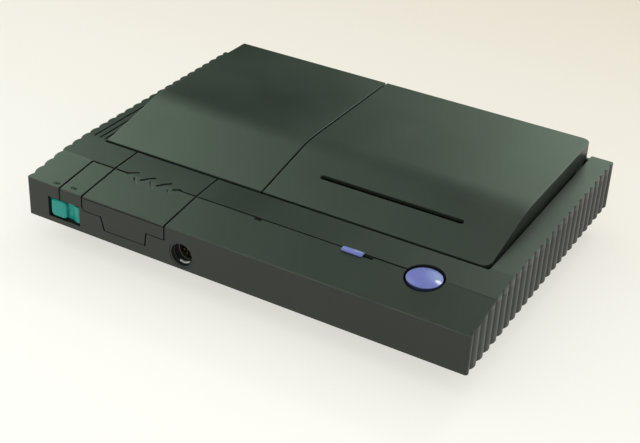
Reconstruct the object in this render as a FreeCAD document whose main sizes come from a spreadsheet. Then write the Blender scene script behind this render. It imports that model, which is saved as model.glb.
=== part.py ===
import FreeCAD, Part
import math
import os
import Sketcher

# Video game console with a hinged disc lid and a card slot.
# Millimetres. X to the right, Y to the rear, Z up. The origin is on the floor under the middle of the case.

V = FreeCAD.Vector
doc = FreeCAD.newDocument("console")

# Driving dimensions
SIZES = {
    "width": 294, "depth": 213, "height": 59,
    "case_low": 16, "wall": 2.4, "front_edge": 41, "edge_round": 0.8,
    "style_y": -74.5, "style_low": 45.25, "style_high": 45.55, "deck_mid": 47.0, "deck_top": 47.4,
    "ramp_y": -50.5, "ramp_low": 47.2, "ramp_angle": 12.5, "ramp_blend": 80,
    "rib_first": -101, "rib_pitch": 8.79, "rib_count": 23, "rib_depth": 1.5,
    "cover_left": -129.9, "cover_right": -15.6, "lid_left": -14.4, "lid_right": 131,
    "cover_rear": 105, "seam": 0.6, "front_gap": 1.1, "skin": 2.2, "skirt_low": 42.2, "rear_skirt_low": 47.6,
    "cover_floor": 44.4, "cover_floor_thick": 2.4, "rear_wall_top": 45.6,
    "groove_wide": 1.5, "groove_deep": 1.2, "line_wide": 0.6, "line_deep": 0.6, "leg_deep": 0.25,
    "groove_left": -122, "groove_mid": -105.1, "groove_right": -45.3,
    "button_x": 105, "button_y": -76.3, "button_radius": 10.25, "button_hole": 11.7,
    "button_rim": 45.1, "button_dome": 1.5, "button_skin": 0.9,
    "lock_x": 60.5, "lock_y": -75.5, "lock_long": 13, "lock_deep": 4.2, "lock_high": 1.1, "lock_travel": 6,
    "lock_slot": 2.6,
    "led_x": -1.5, "led_y": -75.5, "led_long": 5, "led_deep": 2.4,
    "window_x": 56.2, "window_y": -24, "window_long": 94, "window_wide": 3.6,
    "disc_x": 58.5, "disc_y": 35, "well_radius": 62, "well_top": 42, "well_floor": 40.4, "well_thick": 2,
    "hinge_y": 99.5, "hinge_z": 50.5, "hinge_pin": 1.5, "hinge_boss": 2.9, "run_gap": 0.05,
    "port_x": -33.5, "port_z": 25.7, "port_ring": 8.25,
    "port_mouth": 7.2, "port_bore": 6.9, "port_inner": 6.4,
    "switch_left": -131.3, "switch_right": -107.5, "switch_low": 19.5, "switch_top": 33,
    "door_left": -105.3, "door_right": -45.5, "door_top": 39.8, "door_low": 31.8,
    "tongue_low": 23.2, "tongue_top_left": -91.5, "tongue_top_right": -58.4,
    "tongue_low_left": -89.1, "tongue_low_right": -59.5, "door_thick": 1.6, "door_gap": 0.5,
    "door_axis_y": -104.5, "door_axis_z": 38.2, "door_knuckle": 1.4, "door_pin": 0.6,
    "foot_high": 2.5, "foot_radius": 7, "floor_thick": 2, "board_low": 12, "board_thick": 1.6,
    "chassis_low": 28, "chassis_thick": 1.2, "rod_offset": 18, "rod_z": 32, "rod_radius": 1.5,
    "gear_module": 0.8, "pinion_teeth": 10, "wheel_teeth": 36, "small_teeth": 12, "lens_rest": 24,
    "jack_z": 24.2, "phone_half": 8, "phone_top": 32,
}
sheet = doc.addObject("Spreadsheet::Sheet", "dims")
for row, (alias, value) in enumerate(SIZES.items(), 1):
    sheet.set(f"A{row}", alias)
    sheet.set(f"B{row}", str(value))
    sheet.setAlias(f"B{row}", alias)
doc.recompute()

NODES = {}
X, Y, Z = V(1, 0, 0), V(0, 1, 0), V(0, 0, 1)


def dim(alias):
    return float(sheet.get(alias))


HALF_W = dim("width") / 2
HALF_D = dim("depth") / 2
FRONT = -HALF_D
BOARD_TOP = dim("board_low") + dim("board_thick")


# Building blocks

def node(name, piece):
    """Give a finished sub-part its name."""
    piece.Label = name
    NODES[name] = piece
    return piece


def body(name):
    piece = doc.addObject("PartDesign::Body", name + "_body")
    return node(name, piece)


def sketch(piece, role, offset):
    """A sketch on one of the body's origin planes, moved along the plane's normal."""
    sk = piece.newObject("Sketcher::SketchObject", "sketch")
    plane = next(f for f in piece.Origin.OriginFeatures if f.Role == role)
    sk.AttachmentSupport = (plane, [""])
    sk.MapMode = "FlatFace"
    sk.setExpression("AttachmentOffset.Base.z", str(offset))
    return sk


def rectangle(sk, left, right, low, high):
    """A rectangle whose four sides are bound to expressions."""
    corners = [(10, 10), (20, 10), (20, 20), (10, 20)]
    lines = []
    for a, b in zip(corners, corners[1:] + corners[:1]):
        lines.append(sk.addGeometry(Part.LineSegment(V(*a, 0), V(*b, 0))))
    for k in range(4):
        sk.addConstraint(Sketcher.Constraint("Coincident", lines[k], 2, lines[(k + 1) % 4], 1))
        sk.addConstraint(Sketcher.Constraint("Horizontal" if k % 2 == 0 else "Vertical", lines[k]))
    bind(sk, "DistanceX", lines[0], 1, 10.0, left)
    bind(sk, "DistanceX", lines[1], 1, 20.0, right)
    bind(sk, "DistanceY", lines[0], 1, 10.0, low)
    bind(sk, "DistanceY", lines[2], 1, 20.0, high)
    return sk


def bind(sk, kind, geometry, point, start, expression):
    index = sk.addConstraint(Sketcher.Constraint(kind, -1, 1, geometry, point, start))
    sk.setExpression(f"Constraints[{index}]", str(expression))


def circle(sk, x, y, radius):
    """A circle whose centre and radius are bound to expressions."""
    ring = sk.addGeometry(Part.Circle(V(10, 10, 0), Z, 5))
    bind(sk, "DistanceX", ring, 3, 10.0, x)
    bind(sk, "DistanceY", ring, 3, 10.0, y)
    index = sk.addConstraint(Sketcher.Constraint("Radius", ring, 5.0))
    sk.setExpression(f"Constraints[{index}]", str(radius))
    return sk


def outline(sk, path):
    """A closed path of (x, y) points, where (x, y, mid_x, mid_y) is reached by an arc through its middle."""
    for start, end in zip(path, path[1:] + path[:1]):
        a, b = V(start[0], start[1], 0), V(end[0], end[1], 0)
        if len(end) == 4:
            sk.addGeometry(Part.Arc(a, V(end[2], end[3], 0), b))
        else:
            sk.addGeometry(Part.LineSegment(a, b))
    return sk


def pad(piece, sk, length, reverse=False, both=False):
    feature = piece.newObject("PartDesign::Pad", "pad")
    feature.Profile = sk
    feature.setExpression("Length", str(length))
    feature.Reversed = reverse
    feature.SideType = "Symmetric" if both else "One side"
    doc.recompute()
    return feature


def pocket(piece, sk, length, reverse=False, both=False):
    """Cut a sketch into the body, and check that material went away."""
    before = piece.Shape.Volume
    feature = piece.newObject("PartDesign::Pocket", "pocket")
    feature.Profile = sk
    feature.setExpression("Length", str(length))
    feature.Reversed = reverse
    feature.SideType = "Symmetric" if both else "One side"
    doc.recompute()
    if piece.Shape.Volume > before - 1e-3:
        raise RuntimeError(f"a pocket of {piece.Label} cuts nothing")
    return feature


def block(x0, x1, y0, y1, z0, z1):
    """A box between six expressions."""
    piece = doc.addObject("Part::Box", "block")
    for side, low, high, axis in (("Length", x0, x1, "x"), ("Width", y0, y1, "y"), ("Height", z0, z1, "z")):
        piece.setExpression(side, f"({high}) - ({low})")
        piece.setExpression(f"Placement.Base.{axis}", str(low))
    return piece


def barrel(axis, x, y, z, radius, length):
    """A cylinder from a point along an axis."""
    piece = doc.addObject("Part::Cylinder", "barrel")
    piece.Placement = FreeCAD.Placement(V(), FreeCAD.Rotation(Z, axis))
    piece.setExpression("Radius", str(radius))
    piece.setExpression("Height", str(length))
    for name, place in (("x", x), ("y", y), ("z", z)):
        piece.setExpression(f"Placement.Base.{name}", str(place))
    return piece


def fused(pieces):
    if len(pieces) == 1:
        return pieces[0]
    piece = doc.addObject("Part::MultiFuse", "fused")
    piece.Shapes = pieces
    return piece


def without(base, tools):
    piece = doc.addObject("Part::Cut", "cut")
    piece.Base = base
    piece.Tool = fused(tools)
    return piece


def turned(piece, half_profile, x, y, z=0):
    """Revolve a half profile of (radius, height) points about a vertical axis."""
    sk = sketch(piece, "XZ_Plane", 0)
    outline(sk, half_profile)
    spin = piece.newObject("PartDesign::Revolution", "spin")
    spin.Profile = sk
    spin.ReferenceAxis = (sk, ["V_Axis"])
    spin.Angle = 360
    doc.recompute()
    for name, place in (("x", x), ("y", y), ("z", z)):
        piece.setExpression(f"Placement.Base.{name}", str(place))
    return spin


def group(name, solids):
    """Separate solids that share a node."""
    piece = doc.addObject("Part::Compound", name + "_group")
    piece.Links = solids
    return node(name, piece)


# Side profiles of the deck and the covers, as (y, z)

def deck_profile(drop=0.0):
    """The deck's surface from front to rear, lowered by drop."""
    return [
        (FRONT, dim("front_edge") - drop),
        (dim("style_y") - 0.5, dim("style_low") - drop),
        (dim("style_y") + 0.5, dim("style_high") - drop),
        (dim("ramp_y"), dim("deck_mid") - drop),
        (HALF_D, dim("deck_top") - drop),
    ]


def deck_height(y):
    """Height of the deck's surface at a depth."""
    points = deck_profile()
    for (ya, za), (yb, zb) in zip(points, points[1:]):
        if y <= yb:
            return za + (zb - za) * (y - ya) / (yb - ya)
    return points[-1][1]


def cover_profile(low, rear_low, inset=0.0):
    """A raised cover's side: front wall, ramp, tangent blend and flat top, taken in by inset all round."""
    slope = math.tan(math.radians(dim("ramp_angle")))
    lean = math.sqrt(1 + slope * slope)
    front, rear, top = dim("ramp_y") + inset, dim("cover_rear") - inset, dim("height") - inset
    ramp_start = dim("ramp_low") + slope * inset - inset * lean
    meet = front + (top - ramp_start) / slope
    reach = (dim("ramp_blend") - inset) * math.tan(math.radians(dim("ramp_angle")) / 2)
    along = reach / lean
    half = math.radians(dim("ramp_angle")) / 2
    radius = dim("ramp_blend") - inset
    mid = (meet + reach - radius * math.sin(half), top - radius * (1 - math.cos(half)))
    return [
        (front, low),
        (front, ramp_start),
        (meet - along, top - slope * along),
        (meet + reach, top, mid[0], mid[1]),
        (rear, top),
        (rear, rear_low),
    ]


# Upper case: ribbed plan, deck profile, cavity, grooves and openings

def ribbed_plan():
    """The case's plan: plain front and rear edges, convex arcs down both sides."""
    valley = HALF_W - dim("rib_depth")
    notches = [dim("rib_first") + dim("rib_pitch") * k for k in range(int(dim("rib_count")) + 1)]
    corner = dim("edge_round") * 2
    right = [(HALF_W - corner, FRONT), (HALF_W, FRONT + corner, HALF_W - 0.3 * corner, FRONT + 0.3 * corner)]
    right.append((valley, notches[0], HALF_W - 0.35, (notches[0] + FRONT) / 2 + 0.6))
    for a, b in zip(notches, notches[1:]):
        right.append((valley, b, HALF_W, (a + b) / 2))
    rear_start = HALF_D - corner
    right.append((HALF_W, rear_start, HALF_W - 0.35, (notches[-1] + rear_start) / 2))
    right.append((HALF_W - corner, HALF_D, HALF_W - 0.3 * corner, HALF_D - 0.3 * corner))
    left = [(-HALF_W + corner, HALF_D)]
    for start, end in zip(right[::-1], right[::-1][1:]):
        if len(start) == 4:
            left.append((-end[0], end[1], -start[2], start[3]))
        else:
            left.append((-end[0], end[1]))
    return right + left


def door_outline(grow=0.0):
    """Front-face outline of the card door, as (x, z), grown by a gap."""
    d = {name: dim(name) for name in (
        "door_left", "door_right", "door_top", "door_low", "tongue_low",
        "tongue_top_left", "tongue_top_right", "tongue_low_left", "tongue_low_right")}
    bend = 4.0
    left, right = d["door_left"] - grow, d["door_right"] + grow
    return [
        (left, d["door_top"] + grow),
        (left, d["door_low"] + bend - grow),
        (left + 2.0, d["door_low"] - grow, left + 0.5, d["door_low"] + 1.2 - grow),
        (d["tongue_top_left"] - grow, d["door_low"] - grow),
        (d["tongue_low_left"] - grow, d["tongue_low"] - grow),
        (d["tongue_low_right"] + grow, d["tongue_low"] - grow),
        (d["tongue_top_right"] + grow, d["door_low"] - grow),
        (right, d["door_low"] - grow),
        (right, d["door_top"] + grow),
    ]


def make_upper_case():
    case = body("upper_case")
    plan = sketch(case, "XY_Plane", "dims.case_low")
    rectangle(plan, "-dims.width / 2", "dims.width / 2", "-dims.depth / 2", "dims.depth / 2")
    pad(case, plan, "dims.height - dims.case_low")
    # the deck's surface, with the round front edge
    r = dim("edge_round")
    above = deck_profile()
    front_round = (FRONT + r, deck_height(FRONT + r), FRONT + 0.3 * r, dim("front_edge") - 0.25 * r)
    high = dim("height") + 5
    trim = [(FRONT - 5, high), (FRONT - 5, dim("front_edge") - r), (FRONT, dim("front_edge") - r)]
    trim += [front_round] + above[1:] + [(HALF_D + 5, dim("deck_top")), (HALF_D + 5, high)]
    pocket(case, outline(sketch(case, "YZ_Plane", 0), trim), "dims.width + 10", both=True)
    # the cavity under the deck
    inner_front, inner_rear = FRONT + dim("wall"), HALF_D - dim("wall")
    under = deck_profile(dim("wall"))
    cavity = [(inner_front, dim("case_low") - 1), (inner_front, under[0][1] + 0.3)] + under[1:4]
    cavity += [(inner_rear, under[4][1]), (inner_rear, dim("case_low") - 1)]
    pocket(case, outline(sketch(case, "YZ_Plane", 0), cavity), "dims.width - 2 * (dims.wall + 2)", both=True)
    return case


def dress_upper_case(case):
    """Everything cut into or built onto the empty shell."""
    # recessed floor that carries the left cover
    floor = sketch(case, "XY_Plane", "dims.cover_floor - dims.cover_floor_thick")
    rectangle(floor, "dims.cover_left - 4", "dims.cover_right + dims.seam",
              "dims.ramp_y - 4", "dims.depth / 2 - dims.wall")
    pad(case, floor, "dims.cover_floor_thick + 1")
    seat = sketch(case, "XY_Plane", "dims.cover_floor")
    rectangle(seat, "dims.cover_left - dims.seam", "dims.cover_right + dims.seam",
              "dims.ramp_y - dims.front_gap", "dims.depth / 2 - dims.wall")
    pocket(case, seat, 10, reverse=True)
    # opening under the disc lid, and the lower rear wall behind it
    lid = sketch(case, "XY_Plane", "dims.cover_floor - dims.cover_floor_thick - 1")
    rectangle(lid, "dims.cover_right + dims.seam", "dims.lid_right + dims.front_gap",
              "dims.ramp_y - dims.front_gap", "dims.depth / 2 - dims.wall")
    pocket(case, lid, 20, reverse=True)
    rear = sketch(case, "XY_Plane", "dims.rear_wall_top")
    rectangle(rear, "dims.cover_right + dims.seam", "dims.lid_right + dims.front_gap",
              "dims.depth / 2 - dims.wall - 1", "dims.depth / 2 + 1")
    pocket(case, rear, 10, reverse=True)
    # cup that guides the open button
    cup = sketch(case, "XY_Plane", "dims.cover_floor - 5.8")
    circle(cup, "dims.button_x", "dims.button_y", "dims.button_hole + 1.6")
    pad(case, cup, 4.8)
    bowl = sketch(case, "XY_Plane", "dims.cover_floor - 4.4")
    circle(bowl, "dims.button_x", "dims.button_y", "dims.button_hole")
    pocket(case, bowl, 12, reverse=True)
    stem = sketch(case, "XY_Plane", "dims.cover_floor")
    circle(stem, "dims.button_x", "dims.button_y", 2.8)
    pocket(case, stem, 12)
    # slot of the lock slider and hole of the light window
    slot = sketch(case, "XY_Plane", "dims.height")
    rectangle(slot, "dims.lock_x - dims.lock_long / 2 - 0.3",
              "dims.lock_x + dims.lock_long / 2 + dims.lock_travel + 0.3",
              "dims.lock_y - dims.lock_slot / 2", "dims.lock_y + dims.lock_slot / 2")
    rectangle(slot, "dims.led_x - dims.led_long / 2", "dims.led_x + dims.led_long / 2",
              "dims.led_y - dims.led_deep / 2", "dims.led_y + dims.led_deep / 2")
    pocket(case, slot, 22)
    # front wall: controller port, power switch window, card door
    front = sketch(case, "XZ_Plane", "dims.depth / 2 + 1")
    circle(front, "dims.port_x", "dims.port_z", "dims.port_ring + 0.15")
    rectangle(front, "dims.switch_left", "dims.switch_right", "dims.switch_low", "dims.switch_top")
    pocket(case, front, "dims.wall + 2")
    door = outline(sketch(case, "XZ_Plane", "dims.depth / 2 + 1"), door_outline(dim("door_gap")))
    pocket(case, door, "dims.wall + 1.2")
    relief = sketch(case, "XZ_Plane", "dims.depth / 2 - 0.85")
    rectangle(relief, "dims.door_left - 2.6", "dims.door_right + 4.2",
              "dims.door_low + 2", "dims.door_top + 0.3")
    pocket(case, relief, "dims.wall + 1.4")
    # rear wall: sockets and the volume wheel's slot
    back = sketch(case, "XZ_Plane", "-dims.depth / 2 - 1")
    for x, radius in REAR_HOLES:
        circle(back, x, "dims.jack_z", radius)
    rectangle(back, f"{PHONE_X} - dims.phone_half", f"{PHONE_X} + dims.phone_half",
              "dims.case_low - 1", "dims.phone_top")
    rectangle(back, WHEEL_X - 6.6, WHEEL_X + 6.6, WHEEL_LOW - 0.6, WHEEL_LOW + WHEEL_THICK + 0.6)
    pocket(case, back, "dims.wall + 2", reverse=True)
    cut_grooves(case)
    add_screw_posts(case)
    # the ribs down both sides: all that lies outside the ribbed plan is cut away
    ribs = sketch(case, "XY_Plane", "dims.height")
    rectangle(ribs, "-dims.width / 2 - 3", "dims.width / 2 + 3", "-dims.depth / 2 - 3", "dims.depth / 2 + 3")
    outline(ribs, ribbed_plan())
    pocket(case, ribs, "dims.height")


def groove_band(y0, y1, depth):
    """Side profile of a groove that follows the deck: a band from depth below the surface to above it."""
    points = [(y, z) for y, z in deck_profile(depth) if y0 < y < y1]
    low = [(y0, deck_height(max(y0, FRONT)) - depth)] + points + [(y1, deck_height(y1) - depth)]
    return low + [(y1, dim("height")), (y0, dim("height"))]


def cut_grooves(case):
    deep = dim("groove_deep")
    y_style, y_ramp = dim("style_y"), dim("ramp_y") - dim("front_gap")
    runs = [("dims.groove_left", FRONT - 1, y_style, "dims.groove_wide"),
            ("dims.groove_mid", FRONT - 1, y_ramp + 1, "dims.groove_wide"),
            ("dims.groove_right", FRONT - 1, y_ramp + 1, "dims.groove_wide")]
    for louvre in LOUVRES:
        runs.append((louvre, y_ramp + 2, dim("cover_rear") - 1, 1.5))
    for x, y0, y1, wide in runs:
        sk = outline(sketch(case, "YZ_Plane", x), groove_band(y0, y1, deep))
        pocket(case, sk, wide, both=True)
    # down the front face, from the edge to the switch window and the door
    for x, low in (("dims.groove_left", "dims.switch_top - 0.5"), ("dims.groove_mid", "dims.door_top"),
                   ("dims.groove_right", "dims.door_top")):
        face = sketch(case, "XZ_Plane", "dims.depth / 2 + 1")
        rectangle(face, f"{x} - dims.groove_wide / 2", f"{x} + dims.groove_wide / 2", low, "dims.height")
        pocket(case, face, "1 + dims.groove_deep * 0.6")
    # the styling line and its zigzag, straight strokes seen from above
    for strokes, wide, depth in ((BOLD_STROKES, dim("groove_wide") * 0.7, deep),
                                 (FINE_STROKES, dim("line_wide"), dim("line_deep")),
                                 (FAINT_LEGS, dim("line_wide"), dim("leg_deep"))):
        for (xa, ya), (xb, yb) in strokes:
            run = math.hypot(xb - xa, yb - ya)
            nx, ny = -(yb - ya) / run * wide / 2, (xb - xa) / run * wide / 2
            low = min(deck_height(ya), deck_height(yb)) - depth
            sk = sketch(case, "XY_Plane", low)
            outline(sk, [(xa + nx, ya + ny), (xb + nx, yb + ny), (xb - nx, yb - ny), (xa - nx, ya - ny)])
            pocket(case, sk, 12, reverse=True)


# Strokes of the styling line across the deck, as pairs of (x, y) ends
STYLE = dim("style_y")
BOLD_STROKES = [
    ((-122, STYLE), (-95.5, STYLE)), ((-95.5, -74.7), (-89.8, -71.1)), ((-84.1, -76.7), (-77.7, -71.1)),
    ((-72.1, -76.7), (-65.9, -70.9)), ((-61.2, -75.7), (-57.2, -73.6)),
]
FINE_STROKES = [((-57.2, STYLE), (53.4, STYLE)), ((73.5, STYLE), (94.2, STYLE))]
FAINT_LEGS = [
    ((-88.8, -76.9), (-84.5, -81.7)), ((-78, -75.8), (-73.1, -80.8)), ((-64, -77.5), (-61.5, -80.3)),
]
LOUVRES = (-140.6, -136.1, -132.2)
# Case screws, as (x, y, height where the upper post meets the lower boss)
SCREWS = ((-137, -80, 14.5), (137, -80, 14.5), (-137, 92, 14.5), (137, 92, 14.5), (-22, -70, 6), (-30, 92, 6))


def add_screw_posts(case):
    """Hollow posts under the deck that take the case screws."""
    for x, y, low in SCREWS:
        deck = deck_height(y) - dim("wall")
        if y > 0 and abs(x) < 100:
            deck = dim("cover_floor") - dim("cover_floor_thick")
        post = sketch(case, "XY_Plane", low)
        circle(post, x, y, 2.8)
        pad(case, post, deck - low + 0.5)
        bore = sketch(case, "XY_Plane", low)
        circle(bore, x, y, 1.5)
        pocket(case, bore, 14, reverse=True)


# Sockets on the rear wall: centre x, and the radius of the hole in the case
DC_X, AV_X, PHONE_X, WHEEL_X = -118, -92, -66, -48
REAR_HOLES = ((DC_X, 5.2), (AV_X, 8.0))
WHEEL_LOW, WHEEL_THICK, WHEEL_Y, WHEEL_RADIUS = 20.0, 2.6, 98.2, 8.0

upper = make_upper_case()
dress_upper_case(upper)


# Covers

def hollow_cover(name, left, right, low, rear_low, round_front, round_rear):
    """A raised cover: the side profile swept across, rounded in plan, hollowed to an even skin."""
    cover = body(name)
    middle = f"({left} + {right}) / 2"
    base = outline(sketch(cover, "YZ_Plane", middle), cover_profile(low, rear_low))
    pad(cover, base, f"{right} - {left}", both=True)
    for y, radius, toward in ((dim("ramp_y"), round_front, 1), (dim("cover_rear"), round_rear, -1)):
        if radius:
            corner = sketch(cover, "XY_Plane", "dims.height + 1")
            x, inner, soft = dim("lid_right"), y + toward * radius, radius * (1 - math.sqrt(0.5))
            outline(corner, [(x + 1, y - toward), (x + 1, inner), (x, inner),
                             (x - radius, y, x - soft, y + toward * soft), (x - radius, y - toward)])
            pocket(cover, corner, 30)
    hollow = sketch(cover, "YZ_Plane", middle)
    skin = dim("skin")
    path = cover_profile(low - 1, low - 1, skin)
    outline(hollow, path)
    pocket(cover, hollow, f"{right} - {left} - 2 * dims.skin", both=True)
    return cover


hollow_cover("left_cover", "dims.cover_left", "dims.cover_right",
             dim("cover_floor"), dim("rear_skirt_low"), 0, 0)


def make_lid():
    lid = hollow_cover("cd_lid", "dims.lid_left", "dims.lid_right",
                       dim("skirt_low"), dim("rear_skirt_low"), 5, 6)
    # side walls are cut up behind the hinge axis, so that they swing clear of the case
    heel = sketch(lid, "XY_Plane", "dims.rear_skirt_low")
    rectangle(heel, "dims.lid_left - 1", "dims.lid_right + 1", "dims.hinge_y - 3.5", "dims.cover_rear + 1")
    pocket(lid, heel, 20)
    # window slot through the ramp
    half, r = dim("window_long") / 2, dim("window_wide") / 2
    x0, y0 = dim("window_x"), dim("window_y")
    left, right = x0 - half + r, x0 + half - r
    slot = sketch(lid, "XY_Plane", "dims.height")
    outline(slot, [(left, y0 - r, x0 - half, y0), (right, y0 - r),
                   (right, y0 + r, x0 + half, y0), (left, y0 + r)])
    pocket(lid, slot, 14)
    # hinge lugs under the roof, with running bores
    y, z, boss, roof = dim("hinge_y"), dim("hinge_z"), dim("hinge_boss"), dim("height") - dim("skin") + 0.2
    for x in LUGS:
        lug = sketch(lid, "YZ_Plane", x)
        outline(lug, [(y - boss, roof), (y - boss, z), (y + boss, z, y, z - boss), (y + boss, roof)])
        pad(lid, lug, 3)
        bore = sketch(lid, "YZ_Plane", f"{x} - 1")
        circle(bore, "dims.hinge_y", "dims.hinge_z", "dims.hinge_pin + dims.run_gap")
        pocket(lid, bore, 5, reverse=True)
    # catch behind the front wall
    hook = sketch(lid, "YZ_Plane", HOOK_X)
    y = dim("ramp_y") + dim("skin")
    outline(hook, [(y - 0.3, 47), (y - 0.3, 38.5), (y - 1.6, 38.5), (y - 1.6, 37.4),
                   (y, 36), (y + 2, 36), (y + 2, 47)])
    pad(lid, hook, 5, both=True)
    # ring seat for the clamp holder
    seat = sketch(lid, "XY_Plane", "dims.height - dims.skin - 1.2")
    circle(seat, "dims.disc_x", "dims.disc_y", 24)
    circle(seat, "dims.disc_x", "dims.disc_y", 21)
    pad(lid, seat, 1.4)


LUGS = (-7.7, 121.3)
HOOK_X = 104.9
make_lid()


# Tray under the lid

def make_disc_well():
    well = body("disc_well")
    top, low = "dims.well_top", "dims.well_top - 2.4"
    plate = sketch(well, "XY_Plane", low)
    rectangle(plate, "dims.cover_right - 3", "dims.lid_right + 2.8",
              "dims.ramp_y - 3.5", "dims.depth / 2 - dims.wall - 0.2")
    pad(well, plate, 2.4)
    dish = sketch(well, "XY_Plane", "dims.well_floor - dims.well_thick")
    circle(dish, "dims.disc_x", "dims.disc_y", "dims.well_radius + 2")
    pad(well, dish, "dims.well_thick + 0.2")
    hollow = sketch(well, "XY_Plane", "dims.well_floor")
    circle(hollow, "dims.disc_x", "dims.disc_y", "dims.well_radius")
    pocket(well, hollow, 10, reverse=True)
    # wall that closes the gap up to the underside of the deck, at the front and right
    for x0, y1 in (("dims.lid_right + 0.8", 95), ("dims.cover_right + 1", "dims.ramp_y - 1.5")):
        rim = sketch(well, "XY_Plane", top)
        rectangle(rim, x0, "dims.lid_right + 2.8", "dims.ramp_y - 3.5", y1)
        pad(well, rim, 2.3)
    # hub hole and the pickup's slot
    hub = sketch(well, "XY_Plane", "dims.well_top + 1")
    circle(hub, "dims.disc_x", "dims.disc_y", 16)
    pocket(well, hub, 12)
    slot = sketch(well, "XY_Plane", "dims.well_top + 1")
    rectangle(slot, "dims.disc_x - 12", "dims.disc_x + 12", "dims.disc_y - 64", "dims.disc_y - 10")
    pocket(well, slot, 12)
    # slot for the lid's catch
    catch = sketch(well, "XY_Plane", "dims.well_top + 1")
    rectangle(catch, HOOK_X - 3.5, HOOK_X + 3.5, "dims.ramp_y + 0.4", "dims.ramp_y + 7")
    pocket(well, catch, 12)
    # tab with two ears for the latch lever, and the lever's window
    tab = sketch(well, "XY_Plane", low)
    rectangle(tab, HOOK_X - 9, HOOK_X + 9, LATCH_Y - 4, "dims.ramp_y")
    pad(well, tab, 2.2)
    gate = sketch(well, "XY_Plane", "dims.well_top + 1")
    rectangle(gate, HOOK_X - 5, HOOK_X + 5, LATCH_Y + 2.2, "dims.ramp_y + 1")
    pocket(well, gate, 12)
    for x in (HOOK_X - 9, HOOK_X + 6.5):
        ear = sketch(well, "YZ_Plane", x)
        outline(ear, [(LATCH_Y - 3, 39.8), (LATCH_Y - 2.5, LATCH_Z),
                      (LATCH_Y + 2.5, LATCH_Z, LATCH_Y, LATCH_Z - 2.5), (LATCH_Y + 3, 39.8)])
        pad(well, ear, 2.5)
        bore = sketch(well, "YZ_Plane", x - 1)
        circle(bore, LATCH_Y, LATCH_Z, 1)
        pocket(well, bore, 5, reverse=True)
    # hinge posts that lean back to the lid's axis
    y, z, boss = dim("hinge_y"), dim("hinge_z"), dim("hinge_boss")
    lean = math.radians(-143)
    nx, nz = -math.sin(lean) * boss, math.cos(lean) * boss
    run = 13.5
    foot = (y + run * math.cos(lean), z + run * math.sin(lean))
    tip = (y - math.cos(lean) * boss, z - math.sin(lean) * boss)
    for x in POSTS:
        post = sketch(well, "YZ_Plane", x)
        outline(post, [(foot[0] - nx - 3, 41.8), (foot[0] - nx, foot[1] - nz), (y - nx, z - nz),
                       (y + nx, z + nz, tip[0], tip[1]), (foot[0] + nx + 1, 41.8)])
        pad(well, post, 3)
        bore = sketch(well, "YZ_Plane", x - 1)
        circle(bore, "dims.hinge_y", "dims.hinge_z", "dims.hinge_pin")
        pocket(well, bore, 5, reverse=True)
    return well


LATCH_Y, LATCH_Z = -58.0, 36.6
POSTS = (-11.0, 124.6)
make_disc_well()

group("lid_hinge_pins", [
    barrel(X, POSTS[0], "dims.hinge_y", "dims.hinge_z", "dims.hinge_pin", LUGS[0] + 3 - POSTS[0]),
    barrel(X, LUGS[1], "dims.hinge_y", "dims.hinge_z", "dims.hinge_pin", POSTS[1] + 3 - LUGS[1]),
])
group("latch_pin", [barrel(X, HOOK_X - 9, LATCH_Y, LATCH_Z, 1, 18)])


# Open button, its spring and the latch lever

def make_open_button():
    button = body("open_button")
    r, rim, dome = dim("button_radius"), dim("button_rim"), dim("button_dome")
    inner, edge, skin = r - 1.6, r - 0.4, dim("button_skin")
    ball = (edge * edge + dome * dome) / (2 * dome)
    half = math.asin(edge / ball) / 2
    turned(button, [
        (0, 36.4), (2.5, 36.4), (2.5, rim - skin), (inner, rim - skin), (inner, 42.6), (r, 42.6),
        (r, rim - 0.4), (r - 0.4, rim, r - 0.12, rim - 0.12),
        (0, rim + dome, ball * math.sin(half), rim + dome - ball * (1 - math.cos(half))),
    ], "dims.button_x", "dims.button_y")


def coil(x, y, low, high, mean, wire, turns):
    """A spring along a helix. Its wire has six sides, because a round one makes far too many facets."""
    path = Part.makeHelix((high - low - 2 * wire) / turns, high - low - 2 * wire, mean)
    around = [math.pi * k / 3 for k in range(6)]
    corners = [V(mean + wire * math.cos(angle), 0, wire * math.sin(angle)) for angle in around]
    pipe = Part.Wire(path.Edges).makePipeShell([Part.makePolygon(corners + corners[:1])], True, True)
    pipe.translate(V(x, y, low + wire))
    return pipe


make_open_button()
spring = doc.addObject("Part::Feature", "button_spring_wire")
spring.Shape = coil(dim("button_x"), dim("button_y"), dim("cover_floor") - 4.4,
                    dim("button_rim") - dim("button_skin"), 4.2, 0.3, 2)
node("button_spring", spring)


def make_latch_lever():
    lever = body("latch_lever")
    reach = dim("button_y") - 3
    arm = outline(sketch(lever, "YZ_Plane", HOOK_X), [
        (reach, 34.6), (reach, 36.0), (LATCH_Y - 4, 36.0), (LATCH_Y - 2.4, 38.6), (LATCH_Y + 3.6, 39.4),
        (dim("ramp_y") + 0.1, 39.4), (dim("ramp_y") + 0.1, 38.2), (LATCH_Y + 3.6, 37.4),
        (LATCH_Y + 2.2, LATCH_Z - 1.2), (LATCH_Y, LATCH_Z - 2.4), (LATCH_Y - 4, 34.6)])
    pad(lever, arm, 8, both=True)
    bore = circle(sketch(lever, "YZ_Plane", HOOK_X), LATCH_Y, LATCH_Z, "1 + dims.run_gap")
    pocket(lever, bore, 20, both=True)
    pivot = sketch(lever, "YZ_Plane", HOOK_X)
    circle(pivot, LATCH_Y, LATCH_Z, 2.2)
    circle(pivot, LATCH_Y, LATCH_Z, "1 + dims.run_gap")
    pad(lever, pivot, 12, both=True)


make_latch_lever()


# Lock slider and the bar under the deck

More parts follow.
